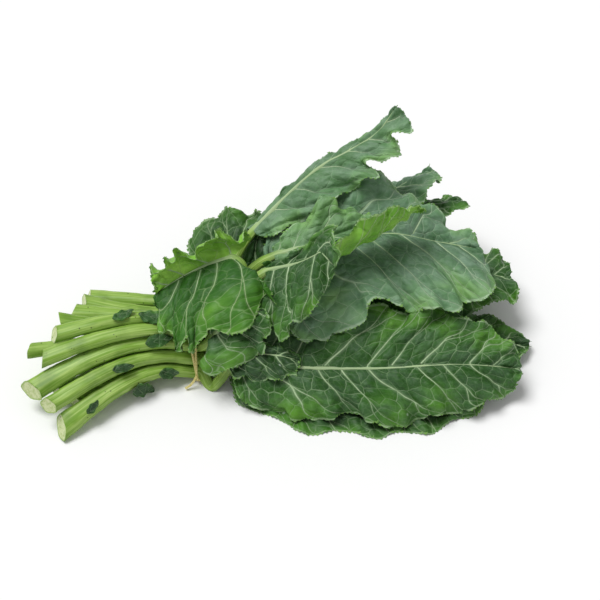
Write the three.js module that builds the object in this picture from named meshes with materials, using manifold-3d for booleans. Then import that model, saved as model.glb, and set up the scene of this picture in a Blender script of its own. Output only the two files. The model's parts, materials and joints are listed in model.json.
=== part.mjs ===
// A bunch of flat-leaf kale, lying on a table and tied round its stalks.
// Millimetres, +Z up. +X runs from the cut stalk ends to the leaf tips, and -Y is the front of the bunch.
// Each leaf is two bodies: its stalk, which runs on as its rib, and its blade on both sides of that rib.
// The leaves are laid one over another, and each blade and rib is bent clear of what lies under it.
import * as THREE from "three";
import Module from "manifold-3d";
import { mergeVertices } from "three/addons/utils/BufferGeometryUtils.js";

const wasm = await Module();
wasm.setup();

// The bundle of stalks
const TIE_X = -82; // where the tie goes round the stalks
const BUNDLE_Y = -15; // the bundle's middle at the tie
const STALK = { halfWidth: 5.6, halfThick: 4.9 }; // at the tie
const STALK_FOOT = 1.4; // how much wider a stalk is at its cut end
const ROW_HEIGHT = 10.6;
const ROW_LIFT = 8.4; // the lowest row's middle above the table, which leaves room for the tie
const SLOT_PITCH = 12.6;
const SLICE = 22; // spacing of the stalk's sections towards the cut ends
const SLICES = 7;
const STALK_GAP = 0.5;
const STALK_ROOM = 1.12; // room kept for a stalk's slope
const STALK_SIDES = 7;
const NECK_STEP = 13; // spacing of the stalk's sections between the tie and the blade
const NECK_X = -73; // up to here the stalks run side by side under the tie
const NECK_FAN = { x: -60, wide: 1.3, high: 1.3 }; // past the tie the stalks fan out by this much
const SPREAD = { step: 4, count: 40, rounds: 160, evening: 0.15 }; // how necks and ribs are kept apart

// The blades
const BLADE_THICK = 0.8;
const RIB_GAP = 0.8; // between a rib and the blade on each side of it
const RIB_SINK = 0.4; // share of the rib's thickness by which it hangs below the blade
const RIB_TIP = 0.9; // half width of the rib where it ends
const TOOTH = 1.3; // depth of the teeth along a margin
const AXIS_SHARE = 0.7; // how far a blade evens out the bends of its rib
const FLOOR = 0.4; // the lowest that a blade's mid-plane can hang

// The pile: an axis under the table, from which "outwards" is measured
const AXIS_DEPTH = 140;
const CLEARANCE = 1.1;
const CELL_X = 2.5;
const CELL_ANGLE = 0.012;
const MAP_X = [-240, 260];
const MAP_ANGLE = [-0.96, 0.96];
const SMOOTHING = 24;

// The tie: two strands round all the stalks, which cross low on the front and back and lean apart above
const TIE = { x: -77, strand: 1.1, gap: 0.9, sides: 6, steps: 40, crossing: 12, leans: [-0.2, -0.02] };
const TIE_TAIL = [[-77, -54.2, 12], [-79.5, -57.2, 8], [-83, -59, 4.2], [-87, -60.5, 2.4]];

const COLOURS = {
  deep: "#2c5526",
  green: "#3b6d2f",
  grey: "#4c7656",
  bright: "#6a9f35",
  stalk: "#a3c163",
  tie: "#d3c376",
};

// One row for each leaf, from the table up.
// slot: [row, place] of its stalk in the bundle. end: where the stalk is cut. foot: how much it widens there.
// cut: how the cut slants, across and up. arch: how far the stalk bows up on its way to the cut.
// neck: points between the tie and the blade. rib: points from the blade's base to its tip.
// front, back: each half's widest reach, its fold up from the rib and its further curl, in degrees.
// sweep, baseSweep: how far the veins lean towards the tip, further out and at the base.
// base: the blade's share of its full width at its base, for the leaf or for one half.
// blunt: less than 0.6 makes a blunter tip. neckSteps: more sections for a neck that turns back.
// wave: [height, count]. lobes: [depth, count]. bites: [place, depth, width] of each gap in the front half.
const LEAVES = [
  {
    name: "floor_back",
    slot: [0, 5],
    end: [-176, 12, 3.6],
    cut: [0.2, 0.1],
    rib: [[-42, 32, 7], [10, 60, 6], [70, 82, 7], [125, 98, 9], [165, 104, 12]],
    front: { width: 48, fold: 4, curl: -6 },
    back: { width: 42, fold: 8, curl: -10 },
    wave: [2.5, 4.2],
    lobes: [0.16, 4],
    colour: "green",
  },
  {
    name: "floor_middle",
    slot: [0, 2],
    end: [-192, -66, 3.6],
    cut: [-0.3, 0.2],
    rib: [[-42, -5, 8], [20, -6, 7], [90, -10, 8], [160, -15, 9], [222, -16, 9]],
    front: { width: 50, fold: 3, curl: -6 },
    back: { width: 54, fold: 5, curl: -6 },
    wave: [2.5, 4.6],
    lobes: [0.16, 5],
    colour: "deep",
  },
  {
    name: "floor_front",
    slot: [0, 1],
    end: [-180, -86, 3.6],
    cut: [0.4, 0.3],
    rib: [[-44, -46, 8], [10, -64, 7], [70, -74, 8], [130, -72, 10], [182, -64, 12]],
    front: { width: 52, fold: 2, curl: -8 },
    back: { width: 46, fold: 6, curl: 0 },
    wave: [3.5, 5.2],
    lobes: [0.2, 5],
    colour: "deep",
  },
  {
    name: "low_right",
    slot: [0, 3],
    end: [-186, -40, 3.6],
    cut: [0.2, -0.2],
    rib: [[-36, 0, 22], [30, 12, 34], [100, 26, 44], [165, 36, 46], [206, 40, 38]],
    front: { width: 58, fold: -8, curl: -26 },
    back: { width: 64, fold: 2, curl: -14 },
    blunt: 0.4,
    wave: [3, 4.4],
    lobes: [0.14, 4],
    colour: "green",
  },
  {
    name: "back_low",
    slot: [0, 4],
    end: [-180, -14, 4.4],
    cut: [-0.3, 0.1],
    rib: [[-40, 30, 21], [10, 60, 34], [65, 86, 46], [118, 106, 58], [166, 116, 62]],
    front: { width: 56, fold: 0, curl: -20 },
    back: { width: 34, fold: 0, curl: -30 },
    blunt: 0.4,
    wave: [3, 5],
    lobes: [0.16, 4],
    colour: "green",
  },
  {
    name: "back_middle",
    slot: [1, 3],
    end: [-192, -10, 26],
    cut: [0.3, 0.2],
    rib: [[-40, 26, 34], [0, 52, 52], [50, 80, 70], [98, 104, 86], [136, 124, 94]],
    front: { width: 58, fold: 0, curl: -24, narrow: 0.3 },
    back: { width: 32, fold: -20, curl: -20 },
    blunt: 0.5,
    wave: [3, 5],
    lobes: [0.16, 4],
    colour: "grey",
  },
  {
    name: "front_low",
    slot: [0, 0],
    end: [-190, -99, 3.8],
    cut: [-0.5, 0.4],
    arch: 10,
    foot: 1.9,
    rib: [[-46, -52, 27], [24, -66, 39], [85, -67, 39], [150, -63, 39], [208, -57, 25]],
    front: { width: 63, fold: -22, curl: -31 },
    back: { width: 66, fold: 6, curl: 10 },
    bites: [[0.3, 0.5, 0.035]],
    wave: [5, 5.5],
    lobes: [0.15, 5],
    colour: "green",
  },
  {
    name: "back_left",
    slot: [2, 4],
    end: [-178, 20, 30],
    cut: [0.1, 0.3],
    rib: [[-58, 34, 43], [-52, 50, 52], [-38, 66, 60], [-14, 86, 62]],
    front: { width: 14, fold: 6, curl: 0 },
    back: { width: 46, fold: 30, curl: -20 },
    baseSweep: -50,
    base: 0.6,
    wave: [3, 4],
    lobes: [0.14, 3],
    colour: "deep",
  },
  {
    name: "front_under",
    slot: [1, 0],
    end: [-200, -96, 24],
    cut: [0.2, 0.5],
    arch: 10,
    rib: [[-48, -52, 36], [-30, -54, 42], [-6, -58, 44], [14, -62, 40]],
    front: { width: 28, fold: -14, curl: -30 },
    back: { width: 12, fold: -6, curl: 0 },
    baseSweep: -10,
    wave: [3, 2.5],
    lobes: [0.2, 4],
    colour: "deep",
  },
  {
    name: "back_top",
    slot: [1, 2],
    end: [-222, -42, 32],
    cut: [-0.5, -0.3],
    foot: 1.2,
    rib: [[-40, 12, 45], [-10, 42, 62], [30, 72, 84], [55, 92, 100], [70, 102, 106]],
    front: { width: 26, fold: 4, curl: -20, narrow: 0.25 },
    back: { width: 38, fold: -6, curl: -20 },
    wave: [3, 4],
    lobes: [0.2, 4],
    colour: "deep",
  },
  {
    name: "top_right",
    slot: [1, 1],
    end: [-193, -72, 20],
    cut: [0.3, 0.3],
    foot: 1.4,
    neck: [[-40, -12, 34]],
    rib: [[-14, 14, 54], [20, 30, 70], [60, 38, 76], [100, 40, 86], [135, 38, 84], [174, 36, 78]],
    front: { width: 100, fold: -8, curl: -50 },
    back: { width: 38, fold: 6, curl: -6, narrow: 1.6 },
    bites: [[0.33, 0.3, 0.05]],
    blunt: 0.4,
    wave: [5, 4],
    lobes: [0.1, 4],
    colour: "grey",
  },
  {
    name: "upright",
    slot: [2, 3],
    end: [-180, 14, 34],
    cut: [0.4, 0.2],
    arch: -3,
    neck: [[-42, 34, 62]],
    rib: [[-28, 56, 70], [7, 78, 105], [34, 90, 129], [56, 97, 140], [83, 107, 155], [99, 118, 175]],
    front: { width: 52, fold: -46, curl: -10, narrow: 0.8 },
    back: { width: 13, fold: 6, curl: -40 },
    bites: [[0.62, 0.6, 0.045], [0.8, 0.5, 0.04]],
    wave: [4, 5],
    lobes: [0.1, 4],
    colour: "grey",
  },
  {
    name: "middle_top",
    slot: [2, 2],
    end: [-188, -4, 39],
    cut: [-0.2, 0.3],
    arch: 4,
    neck: [[-40, 8, 56], [-24, 16, 66]],
    rib: [[-8, 20, 78], [20, 25, 88], [50, 32, 98], [80, 44, 106]],
    front: { width: 9, fold: 0, curl: 0 },
    back: { width: 27, fold: 14, curl: -20 },
    wave: [3, 5],
    lobes: [0.12, 4],
    colour: "grey",
  },
  {
    name: "curled",
    slot: [2, 1],
    end: [-196, -20, 46],
    cut: [0.3, -0.2],
    arch: 5,
    neck: [[-40, -9, 46], [-8, 0, 60]],
    rib: [[34, 9, 90], [60, 15, 107], [86, 26, 118], [114, 38, 126]],
    front: { width: 60, fold: 10, curl: 150 },
    back: { width: 9, fold: 0, curl: 0 },
    wave: [3, 5],
    lobes: [0.12, 4],
    colour: "bright",
  },
  {
    name: "middle_front",
    slot: [3, 0],
    end: [-208, -58, 40],
    cut: [-0.4, 0.2],
    arch: 8,
    neck: [[-40, -8, 65]],
    rib: [[-16, 5, 81], [2, 2, 86], [18, -6, 88], [32, -16, 87], [44, -27, 83]],
    front: { width: 66, fold: -20, curl: -36 },
    back: { width: 34, fold: 50, curl: 0, narrow: 0.3 },
    sweep: 8,
    wave: [3, 2],
    lobes: [0.16, 3],
    colour: "green",
  },
  {
    name: "left_under",
    slot: [2, 0],
    end: [-217, -84, 20],
    cut: [0.3, 0.5],
    arch: 12,
    foot: 1.9,
    rib: [[-62, -40, 51], [-50, -37, 55], [-36, -34, 57], [-16, -32, 57]],
    front: { width: 42, fold: -24, curl: -30 },
    back: { width: 9, fold: 4, curl: 0 },
    baseSweep: -58,
    base: 0.95,
    wave: [2.5, 2],
    lobes: [0.16, 4],
    colour: "green",
  },
  {
    name: "left_top",
    slot: [3, 1],
    end: [-199, -36, 46],
    cut: [-0.2, 0.4],
    arch: 7,
    foot: 1.4,
    neckSteps: 6,
    neck: [[-46, -10, 60], [-36, 2, 70]],
    rib: [[-44, 12, 79], [-64, 9, 84], [-88, 1, 80], [-112, -8, 68]],
    front: { width: 44, fold: 50, curl: 150 },
    back: { width: 84, fold: -20, curl: -30 },
    baseSweep: -45,
    base: 0.85,
    wave: [5, 3.4],
    lobes: [0.24, 4.5],
    colour: "bright",
  },
];

// Small blades on the stalks, left of the tie.
// turn: where round the stalk, in degrees from its top towards the front.
// aim: its heading, in degrees from along the stalk.
const LEAFLET = { steps: 5, gap: 1, wave: 0.09 };
const LEAFLETS = [
  { on: "left_top", x: -128, turn: 10, aim: 20, length: 30, width: 15, lift: 1.5, colour: "green" },
  { on: "back_top", x: -150, turn: 0, aim: -15, length: 20, width: 10, lift: 2, colour: "green" },
  { on: "left_under", x: -122, turn: 30, aim: -10, length: 24, width: 13, lift: 1, colour: "green" },
  { on: "front_under", x: -150, turn: 20, aim: 15, length: 20, width: 9, lift: 1, colour: "deep" },
  { on: "front_low", x: -172, turn: 40, aim: -20, length: 15, width: 9, lift: 1, colour: "deep" },
  { on: "front_low", x: -136, turn: 75, aim: 35, length: 24, width: 18, lift: 2, colour: "deep" },
  { on: "front_low", x: -112, turn: 35, aim: 10, length: 18, width: 12, lift: 1, colour: "deep" },
];

const radians = THREE.MathUtils.degToRad;
const lerp = THREE.MathUtils.lerp;
const smooth = THREE.MathUtils.smoothstep;

// A point's distance and angle from the axis under the table, and the direction outwards from it.
function polar(p) {
  const height = p.z + AXIS_DEPTH;
  return { angle: Math.atan2(p.y, height), reach: Math.hypot(p.y, height) };
}

function outwards(p) {
  return new THREE.Vector3(0, p.y, p.z + AXIS_DEPTH).normalize();
}

// ---- The bundle of stalks, from the tie to the cut ends ----

function slotPoint([row, place]) {
  const first = BUNDLE_Y - 2.5 * SLOT_PITCH;
  const y = first + (place + 0.5 * row) * SLOT_PITCH;
  return new THREE.Vector3(TIE_X, y, ROW_LIFT + row * ROW_HEIGHT);
}

// Half sizes of a stalk's section at x, wider towards its cut end.
function stalkSize(x, leaf) {
  const along = THREE.MathUtils.clamp((TIE_X - x) / (TIE_X - leaf.end[0]), 0, 1);
  const grow = lerp(1, leaf.foot ?? STALK_FOOT, along ** 1.6);
  return { a: STALK.halfWidth * grow, b: STALK.halfThick * lerp(1, 1.12, along) };
}

// Where each stalk runs between its cut end and the tie, in slices across the bundle.
// Stalks that would share room are pushed apart, and none goes into the table.
function packStalks(leaves) {
  const runs = leaves.map((leaf) => {
    const slot = slotPoint(leaf.slot);
    const end = new THREE.Vector3(...leaf.end);
    return Array.from({ length: SLICES + 1 }, (_, k) => {
      const x = TIE_X - k * SLICE;
      const share = (TIE_X - x) / (TIE_X - end.x);
      const bend = share < 1 ? share ** 2.2 * (1.9 - 0.9 * share) : 2 * share - 1;
      const rise = (leaf.arch ?? 0) * 4 * Math.min(1, share) * (1 - Math.min(1, share));
      const own = { y: lerp(slot.y, end.y, bend), z: lerp(slot.z, end.z, bend) + rise };
      return { x, ...own, own, share };
    });
  });
  for (let round = 0; round < 120; round++) {
    for (let k = 1; k <= SLICES; k++) {
      for (let i = 0; i < runs.length; i++) {
        for (let j = 0; j < i; j++) pushApart(runs[i][k], runs[j][k], leaves[i], leaves[j]);
      }
      for (let i = 0; i < runs.length; i++) {
        const p = runs[i][k];
        p.z = Math.max(p.z, 0.72 * stalkSize(p.x, leaves[i]).b);
        const after = runs[i][k + 1] ?? p;
        const before = runs[i][k - 1];
        for (const key of ["y", "z"]) {
          const nearby = (before[key] - before.own[key] + after[key] - after.own[key]) / 2;
          p[key] = p.own[key] + lerp(p[key] - p.own[key], nearby, 0.12);
        }
      }
    }
  }
  return runs;
}

function pushApart(p, q, leafP, leafQ) {
  const beyond = 1 + SLICE / 60;
  if (p.share > beyond || q.share > beyond) return;
  const sizeP = stalkSize(p.x, leafP);
  const sizeQ = stalkSize(q.x, leafQ);
  const a = (sizeP.a + sizeQ.a + STALK_GAP) * STALK_ROOM;
  const b = (sizeP.b + sizeQ.b + STALK_GAP) * STALK_ROOM;
  let dy = (p.y - q.y) / a;
  let dz = (p.z - q.z) / b;
  const apart = Math.hypot(dy, dz);
  if (apart >= 1) return;
  if (apart < 1e-6) dz = 1e-3;
  const push = (1 - apart) / (2 * Math.max(apart, 1e-3));
  p.y += dy * push * a;
  q.y -= dy * push * a;
  p.z += dz * push * b;
  q.z -= dz * push * b;
}

// ---- A leaf's spine: the stations of its stalk and rib ----

function spineOf(leaf, run) {
  const end = new THREE.Vector3(...leaf.end);
  const points = [];
  for (let k = SLICES; k >= 0; k--) {
    if (run[k].x > end.x + 5) points.push(new THREE.Vector3(run[k].x, run[k].y, run[k].z));
  }
  const beyond = run[Math.min(SLICES, Math.ceil((TIE_X - end.x) / SLICE))];
  const inside = points[0];
  const t = (end.x - inside.x) / (beyond.x - inside.x || -SLICE);
  points.unshift(new THREE.Vector3(end.x, lerp(inside.y, beyond.y, t), lerp(inside.z, beyond.z, t)));
  const stations = points.map((p) => ({ p, ...stalkSize(p.x, leaf), blade: -1 }));

  const tie = points.at(-1);
  const before = points.at(-2).clone().lerp(tie, 0.5);
  const held = tie.clone().addScaledVector(tie.clone().sub(before).normalize(), 0.4 * (NECK_X - TIE_X));
  stations.push({ p: held.setX(NECK_X), a: STALK.halfWidth, b: STALK.halfThick, blade: -1 });
  const fan = [NECK_FAN.x, lerp(BUNDLE_Y, tie.y, NECK_FAN.wide), lerp(ROW_LIFT, tie.z, NECK_FAN.high)];
  const neckPoints = leaf.rib[0][0] > NECK_FAN.x + 10 ? [fan, ...(leaf.neck ?? [])] : [];
  const way = [...neckPoints, ...leaf.rib].map((q) => new THREE.Vector3(...q));
  const curve = new THREE.CatmullRomCurve3([tie, held, ...way]);
  const spans = way.length + 1;
  const base = 2 + neckPoints.length;
  const neck = leaf.neckSteps ?? Math.round((leaf.rib[0][0] - NECK_X) / NECK_STEP) + 1;
  for (let k = 1; k < neck; k++) {
    const share = k / neck;
    const p = curve.getPoint((1 + share * (base - 1)) / spans);
    stations.push({ p, a: lerp(5.1, 4.4, share), b: lerp(4.6, 4, share), blade: -1 });
  }
  const steps = leaf.steps ?? 15;
  for (let i = 0; i <= steps; i++) {
    const u = i / steps;
    const p = curve.getPoint((base + u * (spans - base)) / spans);
    const thin = (1 - u) ** 1.15;
    stations.push({ p, a: RIB_TIP + 3.4 * thin, b: RIB_TIP + 3 * thin, blade: i, u });
  }
  return stations;
}

// Pushes the necks and ribs apart wherever two of them would share room to the right of the tie.
function spread(spines) {
  for (const s of spines.flat()) s.move = [0, 0];
  for (let round = 0; round < SPREAD.rounds; round++) {
    for (let k = 0; k < SPREAD.count; k++) {
      const x = NECK_X + (k + 0.5) * SPREAD.step;
      for (let i = 0; i < spines.length; i++) {
        for (let j = 0; j < i; j++) separate(sectionAt(spines[i], x), sectionAt(spines[j], x));
      }
    }
    if (round > 0.8 * SPREAD.rounds) continue;
    for (const stations of spines) {
      stations.forEach((s, k) => {
        if (s.p.x <= NECK_X) return;
        const next = stations[k + 1] ?? s;
        for (const axis of [0, 1]) {
          const mean = (stations[k - 1].move[axis] + next.move[axis]) / 2;
          s.move[axis] = lerp(s.move[axis], mean, SPREAD.evening);
        }
      });
    }
  }
  for (const s of spines.flat()) s.p.add(new THREE.Vector3(0, ...s.move));
}

function separate(one, two) {
  if (!one || !two) return;
  const dy = one.y - two.y;
  const dz = one.z - two.z;
  const apart = Math.hypot(dy, dz);
  const room = one.size + two.size + STALK_GAP;
  if (apart >= room || apart < 1e-6) return;
  const push = (room - apart) / (2 * apart);
  shift(one, dy * push, dz * push);
  shift(two, -dy * push, -dz * push);
}

// Moves a section by moving the two stations beside it.
function shift({ before, after, share }, dy, dz) {
  const held = before.p.x <= NECK_X;
  const [near, far] = held ? [0, 1] : [1 - share, share];
  const total = near * near + far * far;
  before.move[0] += (dy * near) / total;
  before.move[1] += (dz * near) / total;
  after.move[0] += (dy * far) / total;
  after.move[1] += (dz * far) / total;
}

// A spine's middle and size where it passes x.
function sectionAt(stations, x) {
  const k = stations.findIndex((s, i) => i > 0 && s.p.x >= x && stations[i - 1].p.x < x);
  if (k < 0) return null;
  const [before, after] = [stations[k - 1], stations[k]];
  const share = (x - before.p.x) / (after.p.x - before.p.x);
  const [dy, dz] = [0, 1].map((axis) => after.move[axis] - before.move[axis]);
  const step = Math.hypot(after.p.x - before.p.x, after.p.y - before.p.y + dy, after.p.z - before.p.z + dz);
  const lean = Math.max(0.75, Math.abs(after.p.x - before.p.x) / step);
  const y = lerp(before.p.y + before.move[0], after.p.y + after.move[0], share);
  const z = lerp(before.p.z + before.move[1], after.p.z + after.move[1], share);
  return { before, after, share, y, z, size: lerp(before.a, after.a, share) / lean };
}

// Gives each station its directions: along the rib, up out of the blade and across to the front.
function orient(stations) {
  stations.forEach((s, k) => {
    const next = stations[Math.min(k + 1, stations.length - 1)].p;
    const last = stations[Math.max(k - 1, 0)].p;
    s.along = next.clone().sub(last).normalize();
    const out = outwards(s.p);
    s.up = out.addScaledVector(s.along, -out.dot(s.along)).normalize();
    s.front = new THREE.Vector3().crossVectors(s.along, s.up);
  });
  // The blade keeps closer to the leaf's own axis than its rib does, which bends more.
  const ribs = stations.filter((s) => s.blade >= 0);
  const axis = ribs.at(-1).p.clone().sub(ribs[0].p).normalize();
  for (const s of ribs) {
    s.axis = s.along.clone().lerp(axis, AXIS_SHARE).normalize();
    const out = outwards(s.p);
    s.rise = out.addScaledVector(s.axis, -out.dot(s.axis)).normalize();
    s.across = new THREE.Vector3().crossVectors(s.axis, s.rise);
  }
}

// ---- A leaf's blade as a sheet: points, triangles and how each point hangs on the spine ----

// The blade's half width at u, as a share of its widest.
function outline(leaf, u, side) {
  const half = side > 0 ? leaf.front : leaf.back;
  const narrow = lerp(half.narrow ?? 1, 1, smooth(u, 0.2, 0.75));
  const round = narrow * Math.sin(Math.PI * Math.min(1, u) ** 0.8) ** (leaf.blunt ?? 0.6);
  const body = Math.max(round, u < 0.5 ? half.base ?? leaf.base ?? 0.22 : 0);
  const [depth, count] = leaf.lobes;
  const lobe = 1 - depth * (0.5 + 0.5 * Math.cos(2 * Math.PI * (count * u + (side > 0 ? 0.1 : 0.55))));
  const bites = side > 0 ? leaf.bites ?? [] : [];
  const left = bites.map(([at, deep, wide]) => 1 - deep * Math.exp(-(((u - at) / wide) ** 2)));
  return left.reduce((share, bite) => share * bite, body * lobe);
}

function bladePoint(leaf, s, side, v, u, inner) {
  const half = side > 0 ? leaf.front : leaf.back;
  const reach = Math.max(half.width * outline(leaf, u, side), inner + 1.5);
  const across = v * (reach - inner);
  const sweep = radians(lerp(leaf.baseSweep ?? -12, leaf.sweep ?? 34, smooth(u, -0.02, 0.42)));
  const w = across * Math.cos(sweep);
  const fold = radians(half.fold) * smooth(u, -0.3, 0.2);
  const curl = radians(half.curl) / half.width;
  const angle = fold + curl * w;
  const flat = Math.abs(curl) < 1e-6;
  const x = flat ? w * Math.cos(fold) : (Math.sin(angle) - Math.sin(fold)) / curl;
  const z = flat ? w * Math.sin(fold) : (Math.cos(fold) - Math.cos(angle)) / curl;
  const [height, count] = leaf.wave;
  const phase = side > 0 ? 0 : 0.4;
  const rise =
    height * v ** 1.7 * Math.sin(2 * Math.PI * (count * u + phase)) +
    0.45 * height * v ** 3 * Math.sin(2 * Math.PI * (2.3 * count * u + phase + 0.2));
  const scale = Math.min(1, reach / 20);
  return s.p
    .clone()
    .addScaledVector(s.front, side * inner)
    .addScaledVector(s.axis, across * Math.sin(sweep) * (1 - 0.25 * v))
    .addScaledVector(s.across, side * (x - Math.sin(angle) * rise * scale))
    .addScaledVector(s.rise, z + Math.cos(angle) * rise * scale);
}

// Stations between two others, for the finer steps of the margin.
function between(s, t) {
  const mid = (key) => s[key].clone().add(t[key]).multiplyScalar(0.5);
  const turn = (key) => mid(key).normalize();
  const turned = { front: turn("front"), axis: turn("axis"), across: turn("across"), rise: turn("rise") };
  return { p: mid("p"), ...turned };
}

function sheetOf(leaf, stations) {
  const ribs = stations.filter((s) => s.blade >= 0);
  const first = stations.length - ribs.length;
  const steps = ribs.length - 1;
  const across = leaf.across ?? 3;
  const notch = steps - 2;
  const points = [];
  const triangles = [];
  const add = (point, station, v, nearby) => {
    points.push({ point, station: first + station, v, nearby });
    return points.length - 1;
  };
  const spine = ribs.map((s, i) => (i < notch ? null : add(s.p.clone(), i, 0, [])));
  for (const side of [1, -1]) {
    const rows = [];
    const margin = [];
    for (let i = 0; i < steps; i++) {
      const s = ribs[i];
      const inner = i < notch ? s.a + RIB_GAP : 0;
      const row = [i < notch ? add(bladePoint(leaf, s, side, 0, s.u, inner), i, 0, []) : spine[i]];
      for (let j = 1; j <= across; j++) {
        const tooth = j === across ? TOOTH / 60 : 0;
        row.push(add(bladePoint(leaf, s, side, j / across + tooth, s.u, inner), i, j / across, []));
      }
      rows.push(row);
      const next = ribs[i + 1];
      const v = 1 - TOOTH / 60;
      const half = (s.u + next.u) / 2;
      const innerHalf = i < notch ? (s.a + next.a) / 2 + RIB_GAP : 0;
      margin.push(add(bladePoint(leaf, between(s, next), side, v, half, innerHalf), i, 1, []));
    }
    rows.push(Array(across + 1).fill(spine[steps]));
    const face = (a, b, c) => {
      if (a === b || b === c || a === c) return;
      triangles.push(side > 0 ? [a, c, b] : [a, b, c]);
    };
    for (let i = 0; i < steps; i++) {
      const here = rows[i];
      const next = rows[i + 1];
      for (let j = 0; j < across - 1; j++) {
        face(here[j], here[j + 1], next[j]);
        face(here[j + 1], next[j + 1], next[j]);
      }
      const j = across - 1;
      face(here[j], here[j + 1], margin[i]);
      face(here[j], margin[i], next[j]);
      face(margin[i], next[j + 1], next[j]);
    }
  }
  const links = points.map(() => new Set());
  for (const t of triangles) {
    for (const [a, b] of [[t[0], t[1]], [t[1], t[2]], [t[2], t[0]]]) {
      links[a].add(b);
      links[b].add(a);
    }
  }
  points.forEach((p, k) => (p.nearby = [...links[k]]));
  return { points, triangles };
}

// ---- Solids ----

// A sheet given its thickness: the same triangles on both faces, and a wall along every open edge.
function thicken(positions, triangles, thick) {
  const n = positions.length;
  const normals = positions.map(() => new THREE.Vector3());
  const side1 = new THREE.Vector3();
  const side2 = new THREE.Vector3();
  for (const [a, b, c] of triangles) {
    side1.subVectors(positions[b], positions[a]);
    side2.subVectors(positions[c], positions[a]);
    side1.cross(side2);
    for (const k of [a, b, c]) normals[k].add(side1);
  }
  const vertices = [];
  for (const normal of normals) normal.normalize();
  for (const way of [0.5, -0.5]) {
    positions.forEach((p, k) => vertices.push(p.clone().addScaledVector(normals[k], way * thick)));
  }
  const faces = [];
  const open = new Map();
  for (const [a, b, c] of triangles) {
    faces.push([a, b, c], [a + n, c + n, b + n]);
    for (const [p, q] of [[a, b], [b, c], [c, a]]) {
      if (!open.delete(q + " " + p)) open.set(p + " " + q, [p, q]);
    }
  }
  for (const [p, q] of open.values()) faces.push([q, p, p + n], [q, p + n, q + n]);
  return { vertices, faces, owner: (k) => k % n };
}

// A tube of rings with flat ends. Its lowest points are pressed flat where they would go into the table.
function tube(rings) {
  const sides = rings[0].length;
  const vertices = rings.flat();
  const faces = [];
  for (let r = 0; r + 1 < rings.length; r++) {
    for (let k = 0; k < sides; k++) {
      const a = r * sides + k;
      const b = r * sides + ((k + 1) % sides);
      faces.push([a, a + sides, b], [b, a + sides, b + sides]);
    }
  }
  const last = vertices.length - sides;
  for (let k = 1; k + 1 < sides; k++) {
    faces.push([0, k, k + 1], [last, last + k + 1, last + k]);
  }
  return { vertices, faces, owner: (k) => Math.floor(k / sides) };
}

function stalkRings(stations, moved, slant) {
  const steps = stations.filter((s) => s.blade >= 0).length - 1;
  return stations
    .map((s, k) => ({ s, k }))
    .filter(({ s }) => s.blade < steps - 2)
    .map(({ s, k }) => {
      const sink = s.blade < 0 ? 0 : RIB_SINK * s.b;
      return Array.from({ length: STALK_SIDES }, (_, i) => {
        const turn = (2 * Math.PI * i) / STALK_SIDES - Math.PI / 2 + Math.PI / STALK_SIDES;
        const p = moved[k]
          .clone()
          .addScaledVector(s.front, s.a * Math.cos(turn))
          .addScaledVector(s.up, s.b * Math.sin(turn) - sink);
        const lean = slant[0] * Math.cos(turn) + slant[1] * Math.sin(turn);
        if (k === 0) p.addScaledVector(s.along, s.a * lean);
        p.z = Math.max(p.z, 0);
        return p;
      });
    });
}

// ---- The pile: how far out each place is already filled ----

const COLUMNS = Math.ceil((MAP_X[1] - MAP_X[0]) / CELL_X);
const ROWS = Math.ceil((MAP_ANGLE[1] - MAP_ANGLE[0]) / CELL_ANGLE);

function emptyMap() {
  return new Float64Array(COLUMNS * ROWS);
}

// Calls visit(cell, reach, corners' shares) for each cell that a triangle covers.
function overCells(corners, visit) {
  const flat = corners.map((p) => {
    const { angle, reach } = polar(p);
    return [(p.x - MAP_X[0]) / CELL_X, (angle - MAP_ANGLE[0]) / CELL_ANGLE, reach];
  });
  for (const [c, r, reach] of flat) {
    const cell = Math.floor(c) * ROWS + Math.floor(r);
    if (cell >= 0 && cell < COLUMNS * ROWS) visit(cell, reach);
  }
  const [a, b, c] = flat;
  const area = (b[0] - a[0]) * (c[1] - a[1]) - (c[0] - a[0]) * (b[1] - a[1]);
  if (Math.abs(area) < 1e-9) return;
  const low = (k) => Math.max(0, Math.floor(Math.min(a[k], b[k], c[k])));
  const high = (k, most) => Math.min(most - 1, Math.ceil(Math.max(a[k], b[k], c[k])));
  for (let i = low(0); i <= high(0, COLUMNS); i++) {
    for (let j = low(1); j <= high(1, ROWS); j++) {
      const x = i + 0.5;
      const y = j + 0.5;
      const s = ((x - a[0]) * (c[1] - a[1]) - (c[0] - a[0]) * (y - a[1])) / area;
      const t = ((b[0] - a[0]) * (y - a[1]) - (x - a[0]) * (b[1] - a[1])) / area;
      if (s < 0 || t < 0 || s + t > 1) continue;
      visit(i * ROWS + j, a[2] + s * (b[2] - a[2]) + t * (c[2] - a[2]));
    }
  }
}

function fill(map, { vertices, faces }) {
  for (const f of faces) {
    overCells(f.map((k) => vertices[k]), (cell, reach) => {
      map[cell] = Math.max(map[cell], reach);
    });
  }
}

// Each cell given the furthest reach of itself and its neighbours.
function widened(map) {
  const wide = map.slice();
  for (let c = 1; c < COLUMNS - 1; c++) {
    for (let r = 1; r < ROWS - 1; r++) {
      let most = 0;
      for (const i of [-ROWS, 0, ROWS]) {
        for (const j of [-1, 0, 1]) most = Math.max(most, map[c * ROWS + r + i + j]);
      }
      wide[c * ROWS + r] = most;
    }
  }
  return wide;
}

// How far each owner of a solid's corners must move out for the solid to clear the map.
function shortfall(map, solid, count, clearance) {
  const need = new Float64Array(count);
  for (const f of solid.faces) {
    let worst = 0;
    overCells(f.map((k) => solid.vertices[k]), (cell, reach) => {
      worst = Math.max(worst, map[cell] + clearance - reach);
    });
    for (const k of f) need[solid.owner(k)] = Math.max(need[solid.owner(k)], worst);
  }
  return need;
}

// ---- Laying one leaf on the pile ----

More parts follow.
